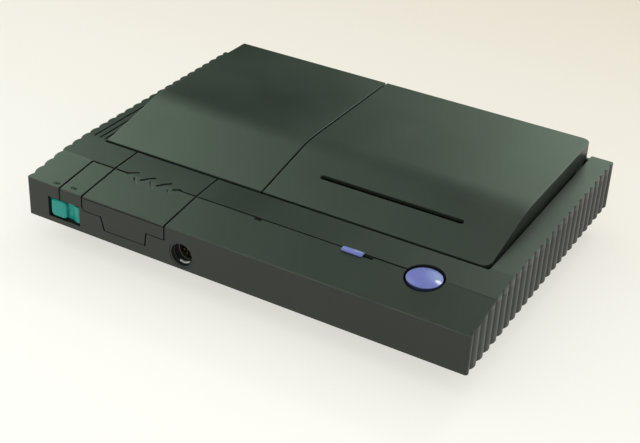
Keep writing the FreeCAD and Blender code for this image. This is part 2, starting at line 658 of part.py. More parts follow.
def make_lock():
    knob = body("lock_slider")
    y0, y1 = dim("lock_y") - dim("lock_deep") / 2, dim("lock_y") + dim("lock_deep") / 2
    stem0, stem1 = dim("lock_y") - dim("lock_slot") / 2 + 0.3, dim("lock_y") + dim("lock_slot") / 2 - 0.3
    seat = deck_height(y1) + 0.15
    top, soft = seat + dim("lock_high"), dim("lock_high") - 0.1
    foot = dim("style_low") - dim("wall") - 0.9
    side = sketch(knob, "YZ_Plane", "dims.lock_x")
    outline(side, [(stem0, foot), (stem0, seat), (y0, seat), (y0, top - soft),
                   (y0 + soft, top, y0 + 0.3 * soft, top - 0.3 * soft),
                   (y1 - soft, top), (y1, top - soft, y1 - 0.3 * soft, top - 0.3 * soft), (y1, seat),
                   (stem1, seat), (stem1, foot)])
    pad(knob, side, "dims.lock_long", both=True)
    group("lock_bar", [block(dim("lock_x") - 12, dim("lock_x") + 23, dim("lock_y") - 5, dim("lock_y") + 5,
                             foot - 1.4, foot)])


make_lock()


# Power switch: teal slider on a backing body

def make_power_switch():
    wall_in = FRONT + dim("wall")
    face, z0, z1 = wall_in + 0.3, dim("switch_low") + 0.8, dim("switch_top") - 1.8
    slider = body("power_slider")
    plate = sketch(slider, "XY_Plane", z0)
    left = dim("switch_left") - 10
    lobe0, lobe1, notch = dim("switch_left") + 2, dim("switch_left") + 13.3, dim("switch_left") + 17.3
    top = FRONT + 0.3
    outline(plate, [
        (left, face), (lobe0, face), (lobe0, top + 2.2), (lobe0 + 2.2, top, lobe0 + 0.65, top + 0.65),
        (lobe1 - 2.2, top), (lobe1, top + 2.2, lobe1 - 0.65, top + 0.65), (lobe1, face + 0.8),
        (notch - 1, face + 0.8), (notch, face), (dim("switch_right") + 1.5, face),
        (dim("switch_right") + 1.5, face + 1.8), (left, face + 1.8)])
    pad(slider, plate, z1 - z0)
    back = face + 2.1
    # a trough that is open at the top, below the card door's swing
    group("power_switch_body", [without(
        block(dim("switch_left") - 11, dim("switch_right") + 13, wall_in, back + 5.5, z0 - 1.6, z1 - 0.1),
        [block(dim("switch_left") - 10.5, dim("switch_right") + 12, wall_in - 1, back, z0 - 0.3, z1 + 1)])])


make_power_switch()


# Card door, guide and connector

def make_card_door():
    door = body("card_door")
    plate = outline(sketch(door, "XZ_Plane", "dims.depth / 2 - dims.door_thick"), door_outline())
    pad(door, plate, "dims.door_thick")
    knuckle = sketch(door, "YZ_Plane", "dims.door_left + 1")
    circle(knuckle, "dims.door_axis_y", "dims.door_axis_z", "dims.door_knuckle")
    pad(door, knuckle, "dims.door_right - dims.door_left - 5")
    bore = sketch(door, "YZ_Plane", "dims.door_left - 2")
    circle(bore, "dims.door_axis_y", "dims.door_axis_z", "dims.door_pin + dims.run_gap")
    pocket(door, bore, "dims.door_right - dims.door_left + 4", reverse=True)


make_card_door()
group("card_door_pin", [
    barrel(X, "dims.door_left - 2.3", "dims.door_axis_y", "dims.door_axis_z",
           "dims.door_pin", "dims.door_right - dims.door_left + 6.2")])
wound = doc.addObject("Part::Feature", "card_door_spring_wire")
wound.Shape = coil(0, 0, 0, 1.7, 0.85, 0.2, 3)
wound.Placement = FreeCAD.Placement(V(dim("door_right") + 0.4, dim("door_axis_y"), dim("door_axis_z")),
                                    FreeCAD.Rotation(Z, X))
node("card_door_spring", wound)


def make_card_guide():
    guide = body("card_guide")
    left, right = dim("door_left") - 0.7, dim("door_right") + 2.3
    floor = sketch(guide, "XY_Plane", GUIDE_FLOOR - 2)
    front, rear = -94.5, CONNECTOR_Y
    notch0, notch1 = dim("tongue_top_left") - 1.5, dim("tongue_top_right") + 1.5
    outline(floor, [(left, front), (notch0, front), (notch0, -86), (notch1, -86), (notch1, front),
                    (right, front), (right, rear), (left, rear)])
    pad(guide, floor, 2)
    for x0, x1 in ((left - 1.6, left), (right, right + 1.6)):
        side = outline(sketch(guide, "YZ_Plane", x0), [
            (-105.4, 34.6), (-105.4, 39.6), (-102.9, 39.6), (-102.9, 38.4), (-76, 40.6), (rear, 40.6),
            (rear, BOARD_TOP), (rear - 12, BOARD_TOP), (rear - 12, 28.4), (-90, 28.4),
            (-95, 33.4), (-103.5, 33.4)])
        pad(guide, side, x1 - x0)
        bore = sketch(guide, "YZ_Plane", x0 - 1)
        circle(bore, "dims.door_axis_y", "dims.door_axis_z", "dims.door_pin")
        pocket(guide, bore, x1 - x0 + 2, reverse=True)


GUIDE_FLOOR, CONNECTOR_Y = 32.4, -60.0
make_card_guide()
slot_x0, slot_x1 = dim("door_left") + 2, dim("door_right") - 2
mouth_low, mouth_top = GUIDE_FLOOR + 0.2, GUIDE_FLOOR + 4.2
group("card_connector", [without(
    block(slot_x0, slot_x1, CONNECTOR_Y + 0.2, CONNECTOR_Y + 9, BOARD_TOP, 40),
    [block(slot_x0 + 3, slot_x1 - 3, CONNECTOR_Y - 1, CONNECTOR_Y + 6, mouth_low, mouth_top)])])
contact_starts = [slot_x0 + 5.6 + 1.27 * k for k in range(36)]
group("card_contacts", [
    block(x, x + 0.4, CONNECTOR_Y + 1, CONNECTOR_Y + 6, mouth_top - 0.8, mouth_top) for x in contact_starts])


# Controller port

def tube(axis, x, y, z, outer, inner, length):
    """A barrel with a hole right through it."""
    return without(barrel(axis, x, y, z, outer, length),
                   [barrel(axis, x - axis.x, y - axis.y, z - axis.z, inner, length + 2)])


def make_controller_port():
    x, z, front = dim("port_x"), dim("port_z"), FRONT + 0.2
    # the bore that takes the plug starts behind the case wall, past a wider mouth
    bore_start, bore_end, hole_end = front + 2.6, front + 6.6, front + 14
    group("pad_socket", [without(
        fused([barrel(Y, x, front, z, "dims.port_ring", 16),
               block(x - 8, x + 8, front + 10.8, front + 28, BOARD_TOP, z + 9)]),
        [barrel(Y, x, front - 1, z, "dims.port_mouth", bore_start - front + 1),
         barrel(Y, x, front - 1, z, "dims.port_bore", bore_end - front + 1),
         barrel(Y, x, front - 1, z, "dims.port_inner", hole_end - front + 1)])])
    group("pad_socket_shell", [
        tube(Y, x, bore_end, z, "dims.port_inner", "dims.port_inner - 0.4", hole_end - bore_end)])
    pins = []
    for k in range(8):
        angle = math.radians(22.5 + 45 * k)
        pins.append(barrel(Y, x + 3.6 * math.cos(angle), front + 7.5, z + 3.6 * math.sin(angle), 0.5, 6.5))
    pins.append(block(x - 1.6, x + 1.6, front + 8, hole_end, z - 1.2, z + 0.9))
    group("pad_socket_pins", pins)


make_controller_port()


# Disc clamp under the lid

disc_x, disc_y = dim("disc_x"), dim("disc_y")
roof = dim("height") - dim("skin")
holder = body("clamp_holder")
turned(holder, [(13.4, 47.2), (16.6, 47.2), (16.6, 54.6), (20.6, 54.6), (20.6, roof), (15.2, roof),
                (15.2, 48.6), (13.4, 48.6)], "dims.disc_x", "dims.disc_y")
puck = body("clamp_puck")
turned(puck, [(0, 48.2), (8.6, 48.2), (9.4, 46.9), (12.6, 46.9), (12.6, 49.0), (14.8, 49.0), (14.8, 50.2),
              (10.0, 50.2), (10.0, 51.8), (9.0, 51.8), (9.0, 50.2), (0, 50.2)], "dims.disc_x", "dims.disc_y")
group("clamp_magnet", [tube(Z, disc_x, disc_y, 50.2, 8.6, 3.0, 3.0)])


# Lower case: a lofted tray with posts, screw holes and vents

def make_lower_case():
    tray = body("lower_case")
    loft_between(tray, (-134, 134, -79, 98, "dims.foot_high"),
                 (-145.2, 145.2, -104.7, 104.7, "dims.case_low"), False)
    loft_between(tray, (-131.4, 131.4, -76.2, 95.4, "dims.foot_high + dims.floor_thick"),
                 (-142, 142, -101.3, 101.5, "dims.case_low + 0.01"), True)
    lip = sketch(tray, "XY_Plane", "dims.case_low - 0.4")
    rectangle(lip, -142.3, 142.3, -103.8, 103.8)
    rectangle(lip, -140.6, 140.6, -100.2, 101.2)
    pad(tray, lip, 2.5)
    return tray


def loft_between(piece, low, high, hollow):
    """Add or remove a straight-sided loft between two level rectangles."""
    sections = []
    for x0, x1, y0, y1, z in (low, high):
        sections.append(rectangle(sketch(piece, "XY_Plane", z), x0, x1, y0, y1))
    kind = "PartDesign::SubtractiveLoft" if hollow else "PartDesign::AdditiveLoft"
    before = piece.Shape.Volume if hollow else 0
    loft = piece.newObject(kind, "loft")
    loft.Profile = sections[0]
    loft.Sections = [sections[1]]
    loft.Ruled = True
    doc.recompute()
    if hollow and piece.Shape.Volume > before - 1:
        raise RuntimeError("the tray's hollow cuts nothing")


def dress_lower_case(tray):
    floor = dim("foot_high") + dim("floor_thick")
    gaps = sketch(tray, "XY_Plane", "dims.case_low")
    rectangle(gaps, DC_X - 10, WHEEL_X + 9, 100, 104.5)
    rectangle(gaps, "dims.port_x - 10", "dims.port_x + 10", -104.5, -100)
    pocket(tray, gaps, 5, reverse=True)
    posts = sketch(tray, "XY_Plane", floor - 0.5)
    for x, y in BOARD_POSTS:
        circle(posts, x, y, 3.2)
    pad(tray, posts, dim("board_low") - floor + 0.5)
    for x, y, low in SCREWS:
        if abs(x) > 100:
            boss = sketch(tray, "XY_Plane", low - 5.6)
            inner, outer = math.copysign(133.1, x), math.copysign(139.2, x)
            rectangle(boss, min(inner, outer), max(inner, outer), y - 4.4, y + 4.4)
            pad(tray, boss, 5.6)
        else:
            boss = sketch(tray, "XY_Plane", dim("foot_high") + 0.3)
            circle(boss, x, y, 4.4)
            pad(tray, boss, low - dim("foot_high") - 0.3)
        shaft = sketch(tray, "XY_Plane", 1)
        circle(shaft, x, y, 1.7)
        pocket(tray, shaft, 20, reverse=True)
        counterbore = sketch(tray, "XY_Plane", 1)
        circle(counterbore, x, y, 3.3)
        pocket(tray, counterbore, low - 2.6 - 1, reverse=True)
    vents = sketch(tray, "XY_Plane", 1)
    for k in range(12):
        rectangle(vents, -94 + 9 * k, -91 + 9 * k, 20, 70)
    pocket(tray, vents, 6, reverse=True)
    columns = sketch(tray, "XY_Plane", floor - 0.5)
    for x, y in GROMMETS:
        circle(columns, x, y, 4)
    pad(tray, columns, dim("chassis_low") - 2.4 - floor + 0.5)


BOARD_POSTS = ((-100, -30), (-100, 60), (0, -40), (10, 84), (125, -30), (125, 70), (-60, 20))
GROMMETS = ((28, -36), (116, -36), (28, 62), (116, 62))
dress_lower_case(make_lower_case())

group("rubber_feet", [
    barrel(Z, x, y, 0, "dims.foot_radius", "dims.foot_high") for x in (-118, 118) for y in (-62, 84)])
screws = []
for x, y, low in SCREWS:
    head = low - 2.6
    screws.append(fused([barrel(Z, x, y, head - 1.6, 2.8, 1.6), barrel(Z, x, y, head - 0.1, 1.5, 14)]))
group("case_screws", screws)


# Boards and what they carry

board_z = dim("board_low")
board_holes = [barrel(Z, x, y, board_z - 1, 5.0, 4) for x, y in GROMMETS]
board_holes += [barrel(Z, x, y, board_z - 1, 3.6, 4) for x, y, low in SCREWS[4:]]
group("main_board", [without(block(-130, 130, -86, 96, board_z, BOARD_TOP), board_holes)])
# chips, as (x, y, width, depth)
CHIPS = ((-90, -10, 24, 24), (-50, -12, 24, 24), (-86, 32, 18, 26), (-10, 20, 20, 14), (-56, 38, 14, 9))
group("board_chips", [
    block(x, x + wide, y, y + deep, BOARD_TOP, BOARD_TOP + 2.4) for x, y, wide, deep in CHIPS])
group("shield_cover", [without(
    block(-104, 14, -22, 72, BOARD_TOP, BOARD_TOP + 9),
    [block(-103.4, 13.4, -21.4, 71.4, BOARD_TOP - 1, BOARD_TOP + 8.4)])])
fins = [block(-128, -104, 40, 42, BOARD_TOP, 38)]
fins += [block(-128 + 5.5 * k, -126.4 + 5.5 * k, 42, 52, BOARD_TOP + 6, 38) for k in range(5)]
group("regulator_heatsink", [fused(fins)])
led_x, led_y = dim("led_x"), dim("led_y")
led_x_half, led_y_half = dim("led_long") / 2 - 0.05, dim("led_deep") / 2 - 0.05
group("led_window", [block(led_x - led_x_half, led_x + led_x_half, led_y - led_y_half, led_y + led_y_half,
                           20, deck_height(led_y) - 0.15)])
group("power_led", [barrel(Z, "dims.led_x", "dims.led_y", BOARD_TOP, 1.5, 5)])


# Rear sockets

REAR_FACE = HALF_D - 0.3


def collar(x, radius):
    """A round face that fills a socket's hole in the case wall."""
    return barrel(Y, x, REAR_FACE - 8, "dims.jack_z", radius, 8)


def rear_socket(name, x, half_width, height, face, bores):
    """A socket block on the board with a face through the case wall, bored from the rear."""
    jack_z = dim("jack_z")
    holder = block(x - half_width, x + half_width, REAR_FACE - 17, REAR_FACE - 6.4, BOARD_TOP, jack_z + height)
    group(name, [without(fused([holder, face]), [
        barrel(Y, x, REAR_FACE - deep, jack_z, radius, deep + 1) for radius, deep in bores])])


rear_socket("dc_jack", DC_X, 6, 6, collar(DC_X, 5.0), [(3.2, 10)])
group("dc_pin", [barrel(Y, DC_X, REAR_FACE - 10, "dims.jack_z", 1.0, 8.5)])
rear_socket("av_socket", AV_X, 9, 8.4, collar(AV_X, 7.8), [(6.6, 9)])
av_pins = []
for k in range(5):
    angle = math.radians(-30 + 60 * k)
    av_pins.append(barrel(Y, AV_X + 3.5 * math.cos(angle), REAR_FACE - 9,
                          dim("jack_z") + 3.5 * math.sin(angle), 0.6, 5))
group("av_pins", av_pins)
# the headphone socket's square face fills a notch, and its bore starts past a wider mouth
phone_half = dim("phone_half") - 0.3
phone_face = block(PHONE_X - phone_half, PHONE_X + phone_half, REAR_FACE - 8, REAR_FACE,
                   "dims.case_low + 0.3", "dims.phone_top - 0.3")
rear_socket("headphone_jack", PHONE_X, 5, 4.5, phone_face, [(2.2, 2.3), (1.8, 14)])
group("volume_pot", [fused([
    block(WHEEL_X - 5, WHEEL_X + 5, WHEEL_Y - 8, WHEEL_Y + 1.6, BOARD_TOP, WHEEL_LOW - 0.6),
    barrel(Z, WHEEL_X, WHEEL_Y, WHEEL_LOW - 1, 1.5, 4.4)])])


def make_volume_wheel():
    wheel = body("volume_wheel")
    rim = circle(sketch(wheel, "XY_Plane", WHEEL_LOW), WHEEL_X, WHEEL_Y, WHEEL_RADIUS)
    circle(rim, WHEEL_X, WHEEL_Y, "1.5 + dims.run_gap")
    pad(wheel, rim, WHEEL_THICK)
    notches = sketch(wheel, "XY_Plane", WHEEL_LOW - 1)
    for k in range(24):
        around = math.radians(15 * k)
        reach = ((WHEEL_RADIUS + 0.5, -0.07), (WHEEL_RADIUS - 0.45, 0), (WHEEL_RADIUS + 0.5, 0.07))
        outline(notches, [(WHEEL_X + r * math.cos(around + turn), WHEEL_Y + r * math.sin(around + turn))
                          for r, turn in reach])
    pocket(wheel, notches, 6, reverse=True)


make_volume_wheel()


# Disc mechanism

chassis_z = dim("chassis_low")
chassis_top = chassis_z + dim("chassis_thick")
rod_z = dim("rod_z")
rods_x = [disc_x - dim("rod_offset"), disc_x + dim("rod_offset")]
rack_x, gear_y = disc_x + 33.5, disc_y - 35.0
module = dim("gear_module")
small_r, wheel_r, pinion_r = (
    module * dim(name) / 2 for name in ("small_teeth", "wheel_teeth", "pinion_teeth"))
gear_x = rack_x + small_r
pinion_x = gear_x + (wheel_r + pinion_r) * math.cos(math.radians(-45))
pinion_y = gear_y + (wheel_r + pinion_r) * math.sin(math.radians(-45))
rod_holders = [block(x - 3, x + 3, y - 2, y + 2, chassis_top - 0.1, rod_z + 2.5)
               for x in rods_x for y in (disc_y - 70, disc_y - 6.5)]
group("mech_chassis", [without(
    fused([block(22, 122, disc_y - 77, disc_y + 33, chassis_z, chassis_top)] + rod_holders),
    [barrel(Z, disc_x, disc_y, chassis_z - 1, 4, 4), barrel(Z, pinion_x, pinion_y, chassis_z - 1, 2.0, 4)]
    + [barrel(Z, x, y, chassis_z - 1, 2.6, 4) for x, y in GROMMETS]
    + [barrel(Y, x, disc_y - 72, rod_z, "dims.rod_radius", 70) for x in rods_x])])
group("damper_grommets", [
    fused([barrel(Z, x, y, chassis_z - 2.4, 5.0, 2.4),
           barrel(Z, x, y, chassis_z - 0.1, 2.6, dim("chassis_thick") + 0.2),
           barrel(Z, x, y, chassis_top, 4.6, 2.2)]) for x, y in GROMMETS])
group("guide_rods", [barrel(Y, x, disc_y - 72, rod_z, "dims.rod_radius", 67.5) for x in rods_x])
group("spindle_motor", [fused([
    barrel(Z, disc_x, disc_y, chassis_z - 12, 12, 12), barrel(Z, disc_x, disc_y, chassis_z - 0.1, 3.9, 2.6),
    barrel(Z, disc_x, disc_y, chassis_z, 1.0, 17)])])
table = body("turntable")
turned(table, [(1.05, 39.6), (6.5, 39.6), (6.5, 42.4), (14, 42.4), (14, 44.0), (7.5, 44.0), (7.3, 45.6),
               (6.2, 46.5), (1.05, 46.5)], "dims.disc_x", "dims.disc_y")


def gear_path(teeth, thin=0.10):
    """Outline of a spur gear: each tooth from root by pitch circle to tip, thinned for backlash."""
    pitch_r = module * teeth / 2
    tip, root = pitch_r + module * 0.95, pitch_r - module * 1.15
    path = []
    quarter = math.pi / teeth / 2
    for k in range(int(teeth)):
        middle = 2 * math.pi * k / teeth
        for r, half in ((root, quarter * 1.45), (pitch_r, quarter - thin / pitch_r), (tip, quarter * 0.42)):
            angle = middle - half
            path.append((r * math.cos(angle), r * math.sin(angle)))
        for r, half in ((tip, quarter * 0.42), (pitch_r, quarter - thin / pitch_r), (root, quarter * 1.45)):
            angle = middle + half
            path.append((r * math.cos(angle), r * math.sin(angle)))
    return path


def toothed(piece, teeth, z, thick, turn):
    """Pad a gear outline, turned so that the wanted tooth or gap faces its mate."""
    c, s = math.cos(turn), math.sin(turn)
    path = [(x * c - y * s, x * s + y * c) for x, y in gear_path(teeth)]
    return pad(piece, outline(sketch(piece, "XY_Plane", z), path), thick)


WHEEL_Z, SMALL_Z = chassis_top + 1.0, chassis_top + 3.2
reduction = body("reduction_gear")
toothed(reduction, dim("wheel_teeth"), WHEEL_Z, 2.2, 0)
toothed(reduction, dim("small_teeth"), SMALL_Z - 0.1, 2.8, math.pi)
hole = circle(sketch(reduction, "XY_Plane", WHEEL_Z - 1), 0.001, 0.001, "1.2 + dims.run_gap")
pocket(reduction, hole, 12, reverse=True)
reduction.Placement = FreeCAD.Placement(V(gear_x, gear_y, 0), FreeCAD.Rotation())
group("gear_post", [fused([
    barrel(Z, gear_x, gear_y, chassis_top, 3, 0.9), barrel(Z, gear_x, gear_y, chassis_top, 1.2, 7.6)])])
pinion = body("motor_pinion")
toothed(pinion, dim("pinion_teeth"), WHEEL_Z - 0.2, 2.8, math.radians(135))
hole = circle(sketch(pinion, "XY_Plane", WHEEL_Z - 1), 0.001, 0.001, "0.75 + dims.run_gap")
pocket(pinion, hole, 12, reverse=True)
pinion.Placement = FreeCAD.Placement(V(pinion_x, pinion_y, 0), FreeCAD.Rotation())
group("sled_motor", [fused([
    barrel(Z, pinion_x, pinion_y, chassis_z - 11, 6.2, 11),
    barrel(Z, pinion_x, pinion_y, chassis_z - 0.1, 1.9, 1.1),
    barrel(Z, pinion_x, pinion_y, chassis_z, 0.75, 6)])])

lens_y = disc_y - dim("lens_rest")
group("pickup_sled", [without(
    fused([block(disc_x - 22, disc_x + 22, lens_y - 8, lens_y + 10, chassis_top + 0.6, 36.6),
           block(disc_x - 8, disc_x + 8, lens_y - 5, lens_y + 5, 36.5, 39.4),
           block(disc_x + 21.9, rack_x - 2.2, lens_y - 6, lens_y + 8, SMALL_Z + 0.4, SMALL_Z + 2.6)]),
    [barrel(Y, x, lens_y - 20, rod_z, "dims.rod_radius + dims.run_gap", 60) for x in rods_x])])
group("pickup_lens", [fused([
    barrel(Z, disc_x, lens_y, 39.4, 3.2, 1.0), barrel(Z, disc_x, lens_y, 40.4, 2.4, 0.5)])])


def make_rack():
    rack = body("sled_rack")
    pitch = math.pi * module
    first, count = -2, 18
    back, root, tip = rack_x - 2.2, rack_x - module * 1.15, rack_x + module * 0.95
    y_start, y_end = gear_y + (first - 0.5) * pitch, gear_y + (first + count + 0.5) * pitch
    path = [(back, y_start), (root, y_start)]
    for k in range(first, first + count):
        middle = gear_y + (k + 0.5) * pitch
        half_steps = ((root, 0.42 * pitch), (rack_x, 0.25 * pitch - 0.1), (tip, 0.12 * pitch))
        path += [(x, middle - half) for x, half in half_steps]
        path += [(x, middle + half) for x, half in half_steps[::-1]]
    path += [(root, y_end), (back, y_end)]
    pad(rack, outline(sketch(rack, "XY_Plane", SMALL_Z + 0.4), path), 2.2)


make_rack()


# Check every object, then write one file for each sub-part

doc.recompute()
for thing in doc.Objects:
    if "Invalid" in thing.State or "Error" in thing.State:
        raise RuntimeError(f"{thing.Name} failed: {thing.State}")
os.makedirs("parts", exist_ok=True)
for name, piece in NODES.items():
    shape = piece.Shape
    if shape.isNull() or not shape.isValid() or not shape.Solids:
        raise RuntimeError(f"{name} has no valid solid")
    shape.exportStep(os.path.join("parts", name + ".step"))
    print(f"{name}: {len(shape.Solids)} solid(s), {shape.Volume / 1000:.2f} cm3")
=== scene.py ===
"""Looks, stage and camera for a video game console with a hinged disc lid and a card slot.

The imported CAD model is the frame. Its solids get procedural finishes, and the pieces that a hand or an eye
comes close to are built again here with rounded edges and their small details.
"""
import logging
import math
from dataclasses import dataclass, field
from enum import Enum
from typing import Sequence

import bmesh
import bpy
from mathutils import Matrix, Vector


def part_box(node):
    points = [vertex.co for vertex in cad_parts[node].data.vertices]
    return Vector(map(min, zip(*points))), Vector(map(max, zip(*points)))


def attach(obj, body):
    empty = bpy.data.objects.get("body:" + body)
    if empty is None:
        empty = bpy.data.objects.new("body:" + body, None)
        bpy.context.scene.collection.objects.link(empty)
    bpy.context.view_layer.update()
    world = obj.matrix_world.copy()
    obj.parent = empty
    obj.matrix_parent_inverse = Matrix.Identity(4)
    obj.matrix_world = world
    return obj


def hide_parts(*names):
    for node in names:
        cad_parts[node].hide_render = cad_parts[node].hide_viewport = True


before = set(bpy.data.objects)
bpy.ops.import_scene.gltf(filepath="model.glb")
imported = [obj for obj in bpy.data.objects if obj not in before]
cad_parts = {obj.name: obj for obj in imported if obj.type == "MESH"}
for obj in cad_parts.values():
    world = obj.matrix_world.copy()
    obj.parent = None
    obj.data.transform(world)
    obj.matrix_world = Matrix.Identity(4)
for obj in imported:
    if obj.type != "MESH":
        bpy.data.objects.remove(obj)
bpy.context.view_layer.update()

log = logging.getLogger("console")
MM = 0.001
Colour = tuple[float, float, float]
Point = tuple[float, float, float]
Spot = tuple[float, float]
Stroke = tuple[Spot, Spot]

# The deck's front edge, and its rise for each step to the rear
FRONT_Y = -106.5 * MM
FRONT_Z = 41.0 * MM
DECK_SLOPE = 4.25 / 32.0


class Along(Enum):
    """The direction of a prism's length, as a matrix from (x, y, length) to the scene's axes."""

    UP = Matrix.Identity(3)
    DEPTH = Matrix(((1, 0, 0), (0, 0, 1), (0, 1, 0)))
    WIDTH = Matrix(((0, 0, 1), (1, 0, 0), (0, 1, 0)))


# Finishes

BEVEL_SAMPLES = 6
COAT_ROUGHNESS = 0.14
GRAIN_DEPTH = 0.06 * MM
HIGHLIGHT_LIFT = 0.042
SKIRT_SHADE = 0.16
FAR_MM = 500.0


class Sheet:
    """A material's node tree, with short calls to add nodes and join them."""

    def __init__(self, name: str, world: bpy.types.World | None = None) -> None:
        """Start a node material with a Principled shader, or an empty tree for a world.

        Args:
            name: The material's name.
            world: The world that gets the tree, where it isn't a material.
        """
        owner = world or bpy.data.materials.new(name)
        owner.use_nodes = True
        self.material = None if world else owner
        self.tree = owner.node_tree
        if world:
            self.tree.nodes.clear()
        self.shader = self.tree.nodes.get("Principled BSDF")
        coordinates = self.add("ShaderNodeTexCoord").outputs
        self.place = coordinates["Generated" if world else "Object"]

    def add(self, kind: str, settings: dict | None = None, **inputs: object) -> bpy.types.Node:
        """Add a node.

        Args:
            kind: The node's type name.
            settings: Attributes of the node itself.
            inputs: Values or output sockets for its inputs, spaces written as underscores.

        Returns:
            The new node.
        """
        node = self.tree.nodes.new(kind)
        for key, value in (settings or {}).items():
            setattr(node, key, value)
        for key, value in inputs.items():
            self.put(node, key.replace("_", " "), value)
        return node

    def put(self, node: bpy.types.Node, key: str | int, value: object) -> None:
        """Link an output socket to an input, or set the input's own value.

        Args:
            node: The node with the input.
            key: The input's name or number.
            value: An output socket, or a plain value.
        """
        socket = node.inputs[key]
        if isinstance(value, bpy.types.NodeSocket):
            self.tree.links.new(value, socket)
        else:
            socket.default_value = value

    def maths(self, operation: str, a: object, b: object = 0.0, c: object = 0.0,
              clamp: bool = False) -> bpy.types.NodeSocket:
        """A Math node's result for two or three values or sockets.

        Args:
            operation: The node's operation.
            a: The first value or socket.
            b: The second value or socket.
            c: The third, for an operation that reads it.
            clamp: Whether the result is held between zero and one.

        Returns:
            The result's socket.
        """
        node = self.add("ShaderNodeMath", {"operation": operation, "use_clamp": clamp})
        for index, value in enumerate((a, b, c)):
            self.put(node, index, value)
        return node.outputs[0]

    def noise(self, scale: float, detail: float = 2.0, roughness: float = 0.5,
              vector: bpy.types.NodeSocket | None = None) -> bpy.types.NodeSocket:
        """A noise pattern's factor on Object coordinates, or on another vector.

        Args:
            scale: How many waves fit in a metre.
            detail: How many finer layers are added.
            roughness: How strong the finer layers are.
            vector: Other coordinates, if any.

        Returns:
            The factor's socket.
        """
        node = self.add("ShaderNodeTexNoise", Scale=scale, Detail=detail, Roughness=roughness)
        self.put(node, "Vector", vector or self.place)
        return node.outputs[0]

    def stretched(self, scale: Point, turn: Point = (0.0, 0.0, 0.0)) -> bpy.types.NodeSocket:
        """Object coordinates scaled and turned, for patterns that run in one direction.

        Args:
            scale: The scale along each axis.
            turn: The rotation about each axis in radians.

        Returns:
            The coordinates' socket.
        """
        node = self.add("ShaderNodeMapping", Scale=scale, Rotation=turn)
        self.put(node, "Vector", self.place)
        return node.outputs[0]

    def between(self, value: bpy.types.NodeSocket, low: float, high: float,
                to_low: float = 0.0, to_high: float = 1.0) -> bpy.types.NodeSocket:
        """Map a value's range to another, held at its ends.

        Args:
            value: The socket with the value.
            low: Where the range starts.
            high: Where it ends.
            to_low: The result at the start.
            to_high: The result at the end.

        Returns:
            The result's socket.
        """
        node = self.add("ShaderNodeMapRange", {"clamp": True})
        for key, number in (("Value", value), ("From Min", low), ("From Max", high),
                            ("To Min", to_low), ("To Max", to_high)):
            self.put(node, key, number)
        return node.outputs[0]

    def blend(self, amount: object, first: object, second: object) -> bpy.types.NodeSocket:
        """Mix two colours by an amount.

        Args:
            amount: How much of the second colour shows.
            first: A colour or a socket.
            second: A colour or a socket.

        Returns:
            The mixed colour's socket.
        """
        node = self.add("ShaderNodeMix", {"data_type": "RGBA"})
        self.put(node, 0, amount)
        for index, value in ((6, first), (7, second)):
            self.put(node, index, value if isinstance(value, bpy.types.NodeSocket) else (*value, 1.0))
        return node.outputs[2]

    def mixed(self, share: object, first: bpy.types.NodeSocket,
              second: bpy.types.NodeSocket) -> bpy.types.NodeSocket:
        """Mix two shaders.

        Args:
            share: How much of the second shader shows.
            first: The shader at zero.
            second: The shader at one.

        Returns:
            The mixed shader.
        """
        node = self.add("ShaderNodeMixShader")
        for index, value in enumerate((share, first, second)):
            self.put(node, index, value)
        return node.outputs[0]

    def edges(self, radius: float, strength: float = 6.0) -> bpy.types.NodeSocket:
        """A mask that is bright along outer and inner edges, from the normal's change near them.

        Args:
            radius: How far from an edge the mask reaches.
            strength: How quickly it grows bright.

        Returns:
            The mask's socket.
        """
        soft = self.add("ShaderNodeBevel", {"samples": BEVEL_SAMPLES}, Radius=radius).outputs[0]
        true = self.add("ShaderNodeNewGeometry").outputs["Normal"]
        near = self.add("ShaderNodeVectorMath", {"operation": "DOT_PRODUCT"})
        self.put(near, 0, soft)
        self.put(near, 1, true)
        gap = self.maths("SUBTRACT", 1.0, near.outputs["Value"])
        return self.maths("MULTIPLY", gap, strength, clamp=True)

    def inside(self, low: Point, high: Point) -> bpy.types.NodeSocket:
        """One within a box between two corners, in millimetres, and zero outside it.

        Args:
            low: The corner with the smallest values.
            high: The corner opposite.

        Returns:
            The mask's socket.
        """
        parts = self.add("ShaderNodeSeparateXYZ")
        self.put(parts, "Vector", self.place)
        mask = None
        for axis, bottom, top in zip("XYZ", low, high):
            offset = self.maths("SUBTRACT", parts.outputs[axis], (bottom + top) / 2 * MM)
            within = self.maths("LESS_THAN", self.maths("ABSOLUTE", offset), (top - bottom) / 2 * MM)
            mask = self.maths("MULTIPLY", mask, within) if mask else within
        return mask

    def bump(self, height: bpy.types.NodeSocket, strength: float, distance: float,
             radius: float = 0.0) -> None:
        """Give the shader a bump, over edges softened by a radius where one is given.

        Args:
            height: The socket with the height.
            strength: How much of the bump shows.
            distance: The height of the bump in metres.
            radius: How far the edges are softened.
        """
        node = self.add("ShaderNodeBump", Strength=strength, Distance=distance)
        self.put(node, "Height", height)
        if radius:
            soft = self.add("ShaderNodeBevel", {"samples": BEVEL_SAMPLES}, Radius=radius)
            self.put(node, "Normal", soft.outputs[0])
        self.put(self.shader, "Normal", node.outputs[0])


